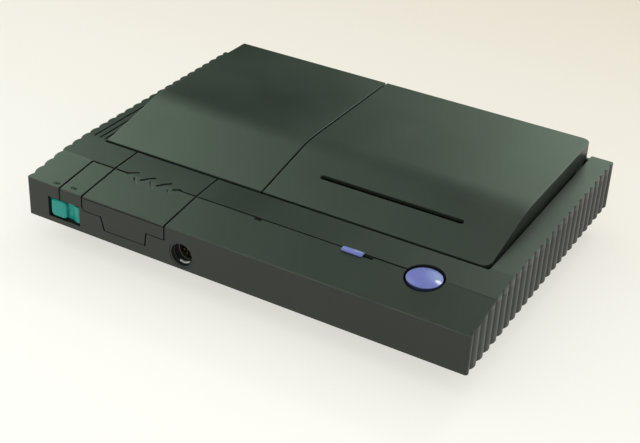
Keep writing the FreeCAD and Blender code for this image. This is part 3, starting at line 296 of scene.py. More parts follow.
@dataclass(frozen=True)
class MouldedPlastic:
    """Moulded plastic with a fine grain and faint mottling, edges lightened partly by rubbed wear and partly
    as a painted highlight, painted highlights in given boxes and painted shade below a given height.
    """

    name: str
    colour: Colour
    roughness: float = 0.45
    grain: float = 0.25
    grain_size: float = 0.4 * MM
    mottle: float = 0.10
    edge_rub_and_highlight: float = 0.35
    edge: float = 0.35 * MM
    specular: float = 0.45
    scratches: float = 0.0
    coat: float = 0.0
    edge_highlight_boxes: tuple[tuple[Point, Point], ...] = ()
    shaded_below: float = 0.0

    def make(self) -> bpy.types.Material:
        """Build the material.

        Returns:
            The material, with its nodes joined.
        """
        s = Sheet(self.name)
        large = s.between(s.noise(9.0, 4.0, 0.6), 0.3, 0.7)
        dark = tuple(c * (1 - self.mottle) for c in self.colour)
        light = tuple(min(1.0, c * (1 + self.mottle)) for c in self.colour)
        colour = s.blend(large, dark, light)
        fine = s.noise(1.0 / self.grain_size, 2.0, 0.6)
        speck = tuple(min(1.0, c * 1.35 + 0.004) for c in self.colour)
        colour = s.blend(s.maths("MULTIPLY", s.between(fine, 0.62, 0.75), 0.35), colour, speck)
        # edges lightened partly as rubbed wear and partly as a painted highlight; the scratches below use
        # the same pale colour
        rub_and_highlight = s.maths("MULTIPLY", s.edges(0.5 * MM), s.between(s.noise(60.0, 3.0), 0.35, 0.65))
        worn_and_lit = tuple(min(1.0, c * 2.2 + 0.03) for c in self.colour)
        colour = s.blend(s.maths("MULTIPLY", rub_and_highlight, self.edge_rub_and_highlight), colour, worn_and_lit)
        rough = s.between(s.noise(14.0, 3.0), 0.3, 0.7, self.roughness - 0.05, self.roughness + 0.06)
        if self.scratches:
            lines = s.noise(1.0, 1.0, 0.4, s.stretched((900.0, 25.0, 40.0), (0.0, 0.0, 0.25)))
            patch = s.between(s.noise(22.0, 2.0), 0.60, 0.68)
            mark = s.maths("MULTIPLY", s.between(lines, 0.72, 0.76), patch)
            colour = s.blend(s.maths("MULTIPLY", mark, self.scratches), colour, worn_and_lit)
            rough = s.maths("ADD", rough, s.maths("MULTIPLY", mark, 0.12))
        # painted highlight: a lighter, patchy colour on the edges inside the given boxes
        highlight_colour = tuple(c + HIGHLIGHT_LIFT for c in self.colour)
        for low, high in self.edge_highlight_boxes:
            patchy = s.between(s.noise(45.0, 3.0), 0.25, 0.6, 0.45, 1.0)
            colour = s.blend(s.maths("MULTIPLY", s.inside(low, high), patchy), colour, highlight_colour)
        # painted shade: everything below the given height is darkened
        if self.shaded_below:
            shade_zone = s.inside((-FAR_MM, -FAR_MM, 0.0), (FAR_MM, FAR_MM, self.shaded_below))
            colour = s.blend(shade_zone, colour, tuple(c * SKIRT_SHADE for c in self.colour))
        s.put(s.shader, "Base Color", colour)
        s.put(s.shader, "Roughness", rough)
        s.put(s.shader, "Specular IOR Level", self.specular)
        s.put(s.shader, "Coat Weight", self.coat)
        s.put(s.shader, "Coat Roughness", COAT_ROUGHNESS)
        s.bump(fine, self.grain, GRAIN_DEPTH, self.edge)
        return s.material


@dataclass(frozen=True)
class Metal:
    """Sheet or turned metal with brushing along one axis, or none where the stretch is even."""

    name: str
    colour: Colour
    roughness: float = 0.3
    brush: Point = (60.0, 900.0, 60.0)
    depth: float = 0.12
    stain: float = 0.15

    def make(self) -> bpy.types.Material:
        """Build the material.

        Returns:
            The material, with its nodes joined.
        """
        s = Sheet(self.name)
        lines = s.noise(1.0, 3.0, 0.6, s.stretched(self.brush))
        cloud = s.between(s.noise(35.0, 4.0, 0.6), 0.35, 0.7)
        dull = tuple(c * (1 - self.stain) for c in self.colour)
        s.put(s.shader, "Base Color", s.blend(cloud, dull, self.colour))
        s.put(s.shader, "Metallic", 1.0)
        low, high = self.roughness * 0.8, self.roughness * 1.25
        s.put(s.shader, "Roughness", s.between(lines, 0.3, 0.7, low, high))
        s.bump(lines, self.depth, 0.02 * MM, 0.15 * MM)
        return s.material


@dataclass(frozen=True)
class Elastomer:
    """Black rubber or foam with a dusty, slightly uneven surface."""

    name: str
    colour: Colour
    dust: float = 0.25

    def make(self) -> bpy.types.Material:
        """Build the material.

        Returns:
            The material, with its nodes joined.
        """
        s = Sheet(self.name)
        cloud = s.between(s.noise(80.0, 5.0, 0.65), 0.45, 0.75)
        pale = tuple(c + 0.08 for c in self.colour)
        s.put(s.shader, "Base Color", s.blend(s.maths("MULTIPLY", cloud, self.dust), self.colour, pale))
        s.put(s.shader, "Roughness", s.between(cloud, 0.0, 1.0, 0.72, 0.9))
        s.bump(s.noise(1500.0, 2.0), 0.4, 0.05 * MM, 0.2 * MM)
        return s.material


@dataclass(frozen=True)
class CircuitBoard:
    """Green solder mask over copper tracks."""

    name: str
    mask: Colour
    track: Colour
    pitch: float = 2.54 * MM

    def make(self) -> bpy.types.Material:
        """Build the material.

        Returns:
            The material, with its nodes joined.
        """
        s = Sheet(self.name)
        grid = s.add("ShaderNodeTexBrick", {"offset": 0.37, "squash": 1.0}, Scale=1.0 / (self.pitch * 4),
                     Mortar_Size=0.06, Mortar_Smooth=0.1)
        s.put(grid, "Vector", s.place)
        tracks = s.maths("MULTIPLY", grid.outputs["Fac"], s.between(s.noise(70.0, 2.0), 0.45, 0.5))
        s.put(s.shader, "Base Color", s.blend(tracks, self.mask, self.track))
        s.put(s.shader, "Roughness", s.between(s.noise(40.0, 2.0), 0.3, 0.7, 0.22, 0.34))
        s.bump(tracks, 0.4, 0.04 * MM)
        return s.material


@dataclass(frozen=True)
class ClearPart:
    """Coated glass or tinted clear plastic."""

    name: str
    colour: Colour
    passing: float
    roughness: float = 0.05
    ior: float = 1.5

    def make(self) -> bpy.types.Material:
        """Build the material.

        Returns:
            The material, with its nodes joined.
        """
        s = Sheet(self.name)
        haze = s.between(s.noise(120.0, 3.0), 0.4, 0.7)
        deep = tuple(c * 0.8 for c in self.colour)
        s.put(s.shader, "Base Color", s.blend(haze, deep, self.colour))
        s.put(s.shader, "Roughness", s.between(haze, 0.0, 1.0, self.roughness, self.roughness + 0.05))
        s.put(s.shader, "Transmission Weight", self.passing)
        s.put(s.shader, "IOR", self.ior)
        s.bump(haze, 0.05, 0.02 * MM)
        return s.material


# Boxes in millimetres that get a painted highlight: the case's front top edge and rib tops, and the lid's
# top right edge
CASE_HIGHLIGHT_BOXES = (((-148.0, -107.0, 40.45), (148.0, -105.95, 41.6)),
             ((146.35, -106.0, 43.0), (148.0, 106.0, 47.6)),
             ((-148.0, -106.0, 43.0), (-146.35, 106.0, 47.6)))
LID_HIGHLIGHT_BOXES = (((130.45, -5.0, 57.8), (132.0, 104.0, 60.0)),)
FINISHES = {
    "case_plastic": MouldedPlastic("case_plastic", (0.011, 0.0150, 0.0115), roughness=0.38, scratches=0.5,
                                   edge_rub_and_highlight=0.4, edge_highlight_boxes=CASE_HIGHLIGHT_BOXES),
    "lid_plastic": MouldedPlastic("lid_plastic", (0.0165, 0.0225, 0.0170), roughness=0.38, scratches=0.5,
                                  edge_rub_and_highlight=0.4, edge_highlight_boxes=LID_HIGHLIGHT_BOXES),
    "black_plastic": MouldedPlastic("black_plastic", (0.017, 0.018, 0.018), roughness=0.45, edge_rub_and_highlight=0.2),
    "blue_plastic": MouldedPlastic("blue_plastic", (0.165, 0.195, 0.500), roughness=0.5, grain=0.04,
                                   edge_rub_and_highlight=0.1, mottle=0.03, specular=0.1, coat=0.4),
    "teal_plastic": MouldedPlastic("teal_plastic", (0.012, 0.285, 0.245), roughness=0.32, grain=0.08,
                                   edge_rub_and_highlight=0.15, specular=0.3),
    "white_plastic": MouldedPlastic("white_plastic", (0.70, 0.69, 0.62), roughness=0.4, edge_rub_and_highlight=0.1),
    "steel": Metal("steel", (0.56, 0.56, 0.57)),
    "shaft_steel": Metal("shaft_steel", (0.72, 0.72, 0.73), roughness=0.14, brush=(300.0, 300.0, 300.0)),
    "aluminium": Metal("aluminium", (0.75, 0.75, 0.76), roughness=0.35),
    "brass": Metal("brass", (0.75, 0.55, 0.22), roughness=0.25, brush=(300.0, 300.0, 300.0)),
    "rubber": Elastomer("rubber", (0.018, 0.018, 0.018)),
    "board": CircuitBoard("board", (0.010, 0.075, 0.030), (0.03, 0.16, 0.06)),
    "chip": MouldedPlastic("chip", (0.015, 0.015, 0.016), roughness=0.55, edge_rub_and_highlight=0.1, grain=0.5),
    "lens_glass": ClearPart("lens_glass", (0.60, 0.70, 0.92), passing=0.85),
    "led_clear": ClearPart("led_clear", (0.020, 0.018, 0.018), passing=0.3, roughness=0.12),
}
PRINT_INK = MouldedPlastic("print_ink", (0.012, 0.016, 0.010), roughness=0.9, edge_rub_and_highlight=0.0, edge=0.0,
                           specular=0.05)
# The button's wall below 44.75 mm is darkened as painted shade
BUTTON_BLUE = MouldedPlastic("button_blue", (0.150, 0.178, 0.470), roughness=0.5, grain=0.02, edge_rub_and_highlight=0.0,
                             mottle=0.02, specular=0.1, coat=0.5, shaded_below=44.75)
# A pale non-metal grey that paints the glint of the metal low in the controller socket
SPRING_GLINT = MouldedPlastic("spring_glint", (0.50, 0.54, 0.50), roughness=0.35, grain=0.02, edge_rub_and_highlight=0.0, edge=0.0)


class FinishShelf:
    """Builds each finish once and hands it out by its slot's name."""

    def __init__(self) -> None:
        """Build every finish of the record's slots."""
        self.made = {slot: finish.make() for slot, finish in FINISHES.items()}
        self.ink = PRINT_INK.make()
        self.spring_glint = SPRING_GLINT.make()
        self.button_blue = BUTTON_BLUE.make()

    def material(self, slot: str) -> bpy.types.Material:
        """The material of a slot."""
        return self.made[slot]


# Mesh helpers

def mesh_object(name: str, shape: bmesh.types.BMesh) -> bpy.types.Object:
    """Turn a bmesh into an object at the origin.

    Args:
        name: The piece's name.
        shape: The mesh, which is freed.

    Returns:
        The new object, linked to the scene.
    """
    mesh = bpy.data.meshes.new(name)
    shape.to_mesh(mesh)
    shape.free()
    piece = bpy.data.objects.new(name, mesh)
    bpy.context.scene.collection.objects.link(piece)
    return piece


def smooth(piece: bpy.types.Object, angle: float = 35.0) -> bpy.types.Object:
    """Shade a piece smooth, with sharp edges above an angle in degrees.

    Args:
        piece: The piece.
        angle: The angle.

    Returns:
        The same piece.
    """
    piece.data.shade_smooth()
    piece.data.set_sharp_from_angle(angle=math.radians(angle))
    return piece


def baked(piece: bpy.types.Object) -> bpy.types.Object:
    """Apply every modifier by swapping in the evaluated mesh.

    Args:
        piece: The piece, whose modifiers are removed.

    Returns:
        The same piece.
    """
    bpy.context.view_layer.update()
    graph = bpy.context.evaluated_depsgraph_get()
    mesh = bpy.data.meshes.new_from_object(piece.evaluated_get(graph))
    piece.modifiers.clear()
    piece.data = mesh
    return piece


def lathe(name: str, profile: Sequence[Spot], centre: Point, steps: int) -> bpy.types.Object:
    """Turn a half profile that starts and ends on an upright axis.

    Args:
        name: The piece's name.
        profile: Points of (radius, height) in order. Points on the axis become poles.
        centre: Where height zero lies on the axis.
        steps: Divisions round the axis.

    Returns:
        The closed turned piece.
    """
    shape = bmesh.new()
    rings = []
    for radius, height in profile:
        if radius < 1e-7:
            rings.append([shape.verts.new((0.0, 0.0, height))])
            continue
        angles = (2 * math.pi * k / steps for k in range(steps))
        rings.append([shape.verts.new((radius * math.cos(a), radius * math.sin(a), height))
                      for a in angles])
    for low, high in zip(rings, rings[1:]):
        for k in range(steps):
            n = (k + 1) % steps
            corners = [low[k % len(low)], low[n % len(low)], high[n % len(high)], high[k % len(high)]]
            shape.faces.new(list(dict.fromkeys(corners)))
    shape.transform(Matrix.Translation(centre))
    bmesh.ops.recalc_face_normals(shape, faces=shape.faces)
    return smooth(mesh_object(name, shape))


def prism(shape: bmesh.types.BMesh, outline: Sequence[Spot], low: float, high: float,
          along: Along = Along.UP) -> None:
    """Add a closed prism to a bmesh.

    Args:
        shape: The mesh to add to.
        outline: Corners of the cross-section, in order.
        low: Where the prism starts along its length.
        high: Where it ends.
        along: The direction of its length.
    """
    turn = along.value
    ends = [[shape.verts.new(turn @ Vector((x, y, z))) for x, y in outline] for z in (low, high)]
    count = len(outline)
    faces = [shape.faces.new(ends[0][::-1]), shape.faces.new(ends[1])]
    for k in range(count):
        n = (k + 1) % count
        faces.append(shape.faces.new((ends[0][k], ends[0][n], ends[1][n], ends[1][k])))
    bmesh.ops.recalc_face_normals(shape, faces=faces)


def rounded_box(name: str, low: Point, high: Point, radius: float, segments: int) -> bpy.types.Object:
    """A box between two corners with all its edges rounded.

    Args:
        name: The piece's name.
        low: The corner with the smallest values.
        high: The corner opposite.
        radius: How far the rounding reaches.
        segments: Steps in the rounding.

    Returns:
        The closed box.
    """
    shape = bmesh.new()
    bmesh.ops.create_cube(shape, size=1.0)
    size = [b - a for a, b in zip(low, high)]
    middle = [(a + b) / 2 for a, b in zip(low, high)]
    shape.transform(Matrix.Translation(middle) @ Matrix.Diagonal((*size, 1.0)))
    bmesh.ops.bevel(shape, geom=list(shape.edges), offset=radius, segments=segments, affect="EDGES",
                    profile=0.5, clamp_overlap=True)
    return smooth(mesh_object(name, shape), 50)


def bevelled(piece: bpy.types.Object, width: float, segments: int, angle: float) -> bpy.types.Object:
    """Round the edges of a piece that turn by more than an angle.

    Args:
        piece: The piece, whose mesh is replaced.
        width: How far the rounding reaches from each edge.
        segments: Steps in the rounding.
        angle: The angle in degrees.

    Returns:
        The same piece.
    """
    bevel = piece.modifiers.new("rounding", "BEVEL")
    bevel.width, bevel.segments, bevel.limit_method = width, segments, "ANGLE"
    bevel.angle_limit = math.radians(angle)
    return baked(piece)


def arc(centre: Spot, radius: float, start: float, end: float, steps: int) -> list[Spot]:
    """Points on an arc between two angles in degrees, both ends included."""
    angles = (math.radians(start + (end - start) * k / steps) for k in range(steps + 1))
    return [(centre[0] + radius * math.cos(a), centre[1] + radius * math.sin(a)) for a in angles]


def merged(name: str, pieces: Sequence[bpy.types.Object]) -> bpy.types.Object:
    """Join several pieces into a new one.

    Args:
        name: The new piece's name.
        pieces: The pieces, which are removed.

    Returns:
        The new piece.
    """
    shape = bmesh.new()
    for piece in pieces:
        shape.from_mesh(piece.data)
    whole = mesh_object(name, shape)
    for piece in pieces:
        bpy.data.objects.remove(piece)
    return smooth(whole)


def metres(stroke: Stroke) -> list[Spot]:
    """A stroke's two ends in metres, from millimetres."""
    return [(x * MM, y * MM) for x, y in stroke]


def capsule(start: Spot, end: Spot, wide: float) -> list[Spot]:
    """The outline of a stroke with round ends.

    Args:
        start: The middle of the first round end.
        end: The middle of the other.
        wide: The stroke's width.

    Returns:
        The outline's points, in order.
    """
    heading = math.degrees(math.atan2(end[1] - start[1], end[0] - start[0]))
    return (arc(end, wide / 2, heading - 90.0, heading + 90.0, 6)
            + arc(start, wide / 2, heading + 90.0, heading + 270.0, 6))


ROUNDING_STEPS = 2
ROUNDED_ABOVE = 28.0


def softened(node: str, width: float, cuts: bmesh.types.BMesh | None) -> bpy.types.Object:
    """A copy of a CAD node with its triangles merged and its edges rounded.

    Args:
        node: The CAD node's name.
        width: How far the rounding reaches from each edge.
        cuts: Closed shapes that are first cut out of the copy, and freed.

    Returns:
        The copy, which doesn't yet stand for the node.
    """
    shape = bmesh.new()
    shape.from_mesh(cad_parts[node].data)
    bmesh.ops.remove_doubles(shape, verts=shape.verts, dist=1e-6)
    bmesh.ops.dissolve_limit(shape, angle_limit=math.radians(0.5), verts=shape.verts, edges=shape.edges,
                             use_dissolve_boundaries=False)
    piece = mesh_object(node + "_soft", shape)
    piece.data.materials.clear()
    if cuts:
        tool = mesh_object(node + "_cuts", cuts)
        carve = piece.modifiers.new("cuts", "BOOLEAN")
        carve.operation, carve.solver, carve.object = "DIFFERENCE", "EXACT", tool
        carve.use_self = True
        baked(piece)
        bpy.data.objects.remove(tool)
    bevel = piece.modifiers.new("rounding", "BEVEL")
    bevel.width, bevel.segments = width, ROUNDING_STEPS
    bevel.limit_method, bevel.angle_limit = "ANGLE", math.radians(ROUNDED_ABOVE)
    bevel.use_clamp_overlap = True
    smooth(piece, ROUNDED_ABOVE)
    bevel.harden_normals = True
    even = piece.modifiers.new("even_shading", "WEIGHTED_NORMAL")
    even.keep_sharp, even.weight = True, 50
    return baked(piece)


# Geometry node trees for what repeats

class Repeater:
    """A geometry node tree that repeats its input mesh, with named inputs set by identifier."""

    def __init__(self, name: str, sizes: dict[str, tuple[str, object]]) -> None:
        """Start a tree.

        Args:
            name: The tree's name.
            sizes: Each named input's socket type and default value.
        """
        self.tree = bpy.data.node_groups.new(name, "GeometryNodeTree")
        face = self.tree.interface
        face.new_socket("Geometry", in_out="INPUT", socket_type="NodeSocketGeometry")
        self.identifiers = {}
        for label, (kind, value) in sizes.items():
            socket = face.new_socket(label, in_out="INPUT", socket_type=kind)
            socket.default_value = value
            self.identifiers[label] = socket.identifier
        finish = face.new_socket("Finish", in_out="INPUT", socket_type="NodeSocketMaterial")
        self.identifiers["Finish"] = finish.identifier
        face.new_socket("Geometry", in_out="OUTPUT", socket_type="NodeSocketGeometry")
        self.entry = self.tree.nodes.new("NodeGroupInput")
        self.exit = self.tree.nodes.new("NodeGroupOutput")

    def add(self, kind: str, settings: dict | None = None,
            inputs: dict[str | int, object] | None = None) -> bpy.types.Node:
        """Add a node with attributes and with input values or links.

        Args:
            kind: The node's type name.
            settings: Attributes of the node itself.
            inputs: A value or an output socket for each input.

        Returns:
            The new node.
        """
        node = self.tree.nodes.new(kind)
        for key, value in (settings or {}).items():
            setattr(node, key, value)
        for key, value in (inputs or {}).items():
            if isinstance(value, bpy.types.NodeSocket):
                self.tree.links.new(value, node.inputs[key])
            else:
                node.inputs[key].default_value = value
        return node

    def given(self, label: str) -> bpy.types.NodeSocket:
        """The tree's own input of that name."""
        return self.entry.outputs[label]

    def maths(self, operation: str, a: object, b: object) -> bpy.types.NodeSocket:
        """A Math node's result."""
        return self.add("ShaderNodeMath", {"operation": operation}, {0: a, 1: b}).outputs[0]

    def close(self, points: bpy.types.NodeSocket, turn: bpy.types.NodeSocket | None = None,
              centre: bpy.types.NodeSocket | None = None) -> None:
        """Put the input mesh on points, make it real and give it its finish.

        Args:
            points: Where the copies go.
            turn: Each copy's rotation, where they differ.
            centre: Where the pattern's middle goes, if that isn't the origin.
        """
        placed = self.add("GeometryNodeInstanceOnPoints", None,
                          {"Points": points, "Instance": self.given("Geometry")})
        if turn is not None:
            self.tree.links.new(turn, placed.inputs["Rotation"])
        real = self.add("GeometryNodeRealizeInstances", None, {"Geometry": placed.outputs[0]})
        if centre is not None:
            real = self.add("GeometryNodeTransform", None,
                            {"Geometry": real.outputs[0], "Translation": centre})
        done = self.add("GeometryNodeSetMaterial", None,
                        {"Geometry": real.outputs[0], "Material": self.given("Finish")})
        self.tree.links.new(done.outputs[0], self.exit.inputs[0])

    def apply(self, piece: bpy.types.Object, finish: bpy.types.Material,
              **sizes: object) -> bpy.types.Object:
        """Run the tree on a piece that holds one copy, and turn the result into a plain mesh.

        Args:
            piece: The object with the mesh that is repeated.
            finish: The material for the result.
            sizes: Values for the named inputs, spaces written as underscores.

        Returns:
            The same object with its new mesh and no modifier.
        """
        modifier = piece.modifiers.new("repeat", "NODES")
        modifier.node_group = self.tree
        for label, value in sizes.items():
            modifier[self.identifiers[label.replace("_", " ")]] = value
        modifier[self.identifiers["Finish"]] = finish
        return baked(piece)


def row_tree() -> Repeater:
    """Copies in an even row, centred on the mesh's own place.

    Returns:
        The tree.
    """
    tree = Repeater("even_row", {"Count": ("NodeSocketInt", 3),
                                 "Step": ("NodeSocketVector", (1.0, 0.0, 0.0))})
    line = tree.add("GeometryNodeMeshLine", {"mode": "OFFSET"},
                    {"Count": tree.given("Count"), "Offset": tree.given("Step")})
    half = tree.maths("MULTIPLY", tree.maths("SUBTRACT", tree.given("Count"), 1.0), -0.5)
    shift = tree.add("ShaderNodeVectorMath", {"operation": "SCALE"}, {0: tree.given("Step"), "Scale": half})
    moved = tree.add("GeometryNodeTransform", None,
                     {"Geometry": line.outputs[0], "Translation": shift.outputs[0]})
    tree.close(moved.outputs[0])
    return tree


def ring_tree() -> Repeater:
    """Copies on a ring round Z, each turned to face outwards.

    Returns:
        The tree.
    """
    tree = Repeater("even_ring", {"Count": ("NodeSocketInt", 8), "Radius": ("NodeSocketFloat", 0.01),
                                  "Centre": ("NodeSocketVector", (0.0, 0.0, 0.0))})
    points = tree.add("GeometryNodePoints", None, {"Count": tree.given("Count")})
    index = tree.add("GeometryNodeInputIndex").outputs[0]
    share = tree.maths("DIVIDE", index, tree.given("Count"))
    angle = tree.maths("MULTIPLY", share, 2 * math.pi)
    x = tree.maths("MULTIPLY", tree.maths("COSINE", angle, 0.0), tree.given("Radius"))
    y = tree.maths("MULTIPLY", tree.maths("SINE", angle, 0.0), tree.given("Radius"))
    spot = tree.add("ShaderNodeCombineXYZ", None, {"X": x, "Y": y}).outputs[0]
    placed = tree.add("GeometryNodeSetPosition", None, {"Geometry": points.outputs[0], "Position": spot})
    turn = tree.add("ShaderNodeCombineXYZ", None, {"Z": angle}).outputs[0]
    tree.close(placed.outputs[0], turn, tree.given("Centre"))
    return tree


# Sub-assemblies

@dataclass
class Assembly:
    """A group of pieces that is built and dressed together."""

    shelf: FinishShelf

    def place(self, piece: bpy.types.Object, body: str, slot: str, *stands_for: str,
              finish: bpy.types.Material | None = None) -> bpy.types.Object:
        """Give a piece its finish and its body, hide the nodes it stands for, and log it with its slot.

        Args:
            piece: A finished piece with its place in its mesh.
            body: The CAD body it moves with.
            slot: The record's material slot.
            stands_for: CAD nodes that it replaces.
            finish: A finish other than the slot's own.

        Returns:
            The piece.
        """
        material = finish or self.shelf.material(slot)
        piece.data.materials.clear()
        piece.data.materials.append(material)
        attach(piece, body)
        if stands_for:
            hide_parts(*stands_for)
        log.info("%s rides on %s, finished as %s", piece.name, body, slot)
        return piece


@dataclass
class Housing(Assembly):
    """Upper and lower case, left cover, lid and card door, with softened edges and wider strokes."""

    edge: float = 0.35 * MM
    line_y: float = -74.5 * MM
    peaks: tuple[Stroke, ...] = (((-95.5, -74.7), (-89.8, -71.1)), ((-84.1, -76.7), (-77.7, -71.1)),
                                 ((-72.1, -76.7), (-65.9, -70.9)), ((-61.2, -75.7), (-57.2, -73.6)))
    peak_wide: float = 1.5 * MM
    legs: tuple[Stroke, ...] = (((-88.8, -76.9), (-84.5, -81.7)), ((-78.0, -75.8), (-73.1, -80.8)),
                                ((-64.0, -77.5), (-61.5, -80.3)))
    leg_wide: float = 1.5 * MM
    runs: tuple[tuple[float, float, float], ...] = ((-57.2, 53.4, 0.8), (67.4, 94.2, 1.1))
    depths: tuple[float, float, float] = (1.2 * MM, 0.3 * MM, 0.8 * MM)
    stroke_top: float = 10 * MM
    rear_gap: tuple[Stroke, ...] = (((-130.2, -52.4), (-15.3, -51.2)), ((-15.3, -52.4), (131.4, -51.2)))
    rear_gap_cut: tuple[float, float] = (43.2 * MM, 60 * MM)
    door_sides: tuple[Stroke, ...] = (((-105.3, 31.8), (-105.3, 40.5)), ((-45.5, 31.8), (-45.5, 40.5)),
                                      ((-91.5, 31.6), (-89.1, 23.4)), ((-58.4, 31.6), (-59.5, 23.4)))
    door_gap: float = 1.0 * MM
    door_cut: tuple[float, float] = (-107.5 * MM, -105.3 * MM)

    def strokes(self) -> bmesh.types.BMesh:
        """The styling line, its peaks and legs and the gap before the covers, to cut from the deck.

        Returns:
            The closed shapes, in one mesh.
        """
        shape = bmesh.new()
        line = tuple(((left, self.line_y / MM), (right, self.line_y / MM), wide * MM)
                     for left, right, wide in self.runs)
        peaks = tuple((start, end, self.peak_wide) for start, end in self.peaks)
        legs = tuple((start, end, self.leg_wide) for start, end in self.legs)
        for strokes, depth in zip((peaks, legs, line), self.depths):
            for start, end, wide in strokes:
                prism(shape, capsule(*metres((start, end)), wide), -depth, self.stroke_top)
        for vert in shape.verts:
            vert.co.z += FRONT_Z + (vert.co.y - FRONT_Y) * DECK_SLOPE
        for gap in self.rear_gap:
            (x0, y0), (x1, y1) = metres(gap)
            prism(shape, [(x0, y0), (x1, y0), (x1, y1), (x0, y1)], *self.rear_gap_cut)
        return shape

    def door_gaps(self) -> bmesh.types.BMesh:
        """Shapes that widen the upright gaps round the card door.

        Returns:
            The closed shapes, in one mesh.
        """
        shape = bmesh.new()
        for side in self.door_sides:
            prism(shape, capsule(*metres(side), self.door_gap), *self.door_cut, Along.DEPTH)
        return shape

    def build(self) -> None:
        """Round the edges of each housing part and place it."""
        cuts = {"upper_case": self.strokes(), "card_door": self.door_gaps()}
        # the cover has the case's slot in the record, but the photograph shows it like the lid
        matching = {"left_cover": self.shelf.material("lid_plastic")}
        parts = (("upper_case", "case", "case_plastic"), ("lower_case", "case", "black_plastic"),
                 ("left_cover", "case", "case_plastic"), ("cd_lid", "lid", "lid_plastic"),
                 ("card_door", "door", "case_plastic"))
        for node, body, slot in parts:
            piece = softened(node, self.edge, cuts.get(node))
            self.place(piece, body, slot, node, finish=matching.get(node))


@dataclass
class SwitchMarks(Assembly):
    """The words at the two ends of the power switch, as thin ink on the deck."""

    marks: tuple[tuple[str, float, float], ...] = (("OFF", -129.0, -104.0), ("ON", -116.3, -103.2))
    size: float = 2.6 * MM
    weight: float = 0.12 * MM
    thick: float = 0.04 * MM

    def build(self) -> None:
        """Write the words, lay them on the slope and join them."""
        pieces = []
        for word, x, y in self.marks:
            curve = bpy.data.curves.new("mark_" + word.lower(), "FONT")
            curve.body, curve.size, curve.offset = word, self.size, self.weight
            curve.extrude, curve.resolution_u = self.thick / 2, 3
            text = bpy.data.objects.new(curve.name, curve)
            bpy.context.scene.collection.objects.link(text)
            bpy.context.view_layer.update()
            graph = bpy.context.evaluated_depsgraph_get()
            mesh = bpy.data.meshes.new_from_object(text.evaluated_get(graph))
            bpy.data.objects.remove(text)
            height = FRONT_Z + (y * MM - FRONT_Y) * DECK_SLOPE + self.thick / 2
            turn = Matrix.Rotation(math.atan(DECK_SLOPE), 4, "X")
            mesh.transform(Matrix.Translation((x * MM, y * MM, height)) @ turn)
            shape = bmesh.new()
            shape.from_mesh(mesh)
            bmesh.ops.remove_doubles(shape, verts=shape.verts, dist=1e-7)
            pieces.append(mesh_object("mark_" + word.lower(), shape))
        self.place(merged("switch_marks", pieces), "case", "case_plastic", finish=self.shelf.ink)


@dataclass
class OpenButton(Assembly):
    """The domed button that opens the lid."""

    rim: float = 0.5 * MM
    dome: float = 1.5 * MM
    skin: float = 0.9 * MM
    wall: float = 1.6 * MM
    wall_low: float = 42.6 * MM
    stem: float = 2.5 * MM
    steps: int = 96

    def build(self) -> None:
        """Turn the button's cap and stem as one closed piece."""
        low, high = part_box("open_button")
        centre = ((low.x + high.x) / 2, (low.y + high.y) / 2)
        radius, top = (high.x - low.x) / 2, high.z
        wall_top = top - self.dome
        dome = (radius - self.rim) ** 2 / (2 * (top - wall_top)) + (top - wall_top) / 2
        reach = math.degrees(math.asin((radius - self.rim) / dome))
        cap = arc((0.0, top - dome), dome, 90.0, 90.0 - reach, 14)
        cap[0] = (0.0, top)
        shoulder = arc((radius - self.rim, wall_top - self.rim), self.rim, 75.0, 0.0, 4)
        inner = radius - self.wall
        profile = cap + shoulder + [
            (radius, self.wall_low), (inner, self.wall_low), (inner, wall_top - self.skin),
            (self.stem, wall_top - self.skin), (self.stem, low.z), (0.0, low.z)]
        piece = lathe("open_button_cap", profile, (*centre, 0.0), self.steps)
        self.place(piece, "button", "blue_plastic", "open_button", finish=self.shelf.button_blue)


@dataclass
class LockSlider(Assembly):
    """The small lock slider, a half-round bar with shallow ridges at its right end."""

    sink: float = 0.5 * MM
    forward: float = 0.35 * MM
    ends: float = 0.5 * MM
    flattened: float = 0.62
    stem_half: float = 0.7 * MM
    stem_inset: float = 1.5 * MM
    ridge: float = 0.16 * MM
    ridge_share: float = 0.55
    ridge_sink: float = 0.12 * MM
    ridges: int = 5
    ridge_step: float = 1.1 * MM
    ridges_from_end: float = 3.6 * MM

    def build(self) -> None:
        """Sweep a half-round section along the slider and lay ridges across it."""
        low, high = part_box("lock_slider")
        y = (low.y + high.y) / 2 - self.forward
        half, crown = (high.y - low.y) / 2, high.z - self.ridge
        rise = half * self.flattened
        base = crown - rise
        section = [(half * math.cos(math.radians(a)), base + rise * math.sin(math.radians(a)))
                   for a in range(0, 181, 15)]
        section = [(half, base - self.sink)] + section + [(-half, base - self.sink)]
        shape = bmesh.new()
        prism(shape, section, low.x, high.x, Along.WIDTH)
        wide = self.stem_half
        stem = [(-wide, low.z), (wide, low.z), (wide, base), (-wide, base)]
        prism(shape, stem, low.x + self.stem_inset, high.x - self.stem_inset, Along.WIDTH)
        shape.transform(Matrix.Translation((0.0, y, 0.0)))
        bar = bevelled(mesh_object("lock_bar_top", shape), self.ends, 3, 60.0)
        rib = bmesh.new()
        reach = half * self.ridge_share
        prism(rib, arc((0.0, 0.0), self.ridge, 0.0, 180.0, 4), -reach, reach, Along.DEPTH)
        ridge = mesh_object("lock_ridges", rib)
        row_tree().apply(ridge, self.shelf.material("blue_plastic"), Count=self.ridges,
                         Step=(self.ridge_step, 0.0, 0.0))
        first = (high.x - self.ridges_from_end, y, crown - self.ridge_sink)
        ridge.data.transform(Matrix.Translation(first))
        self.place(merged("lock_slider_grip", [bar, ridge]), "lock", "blue_plastic", "lock_slider")


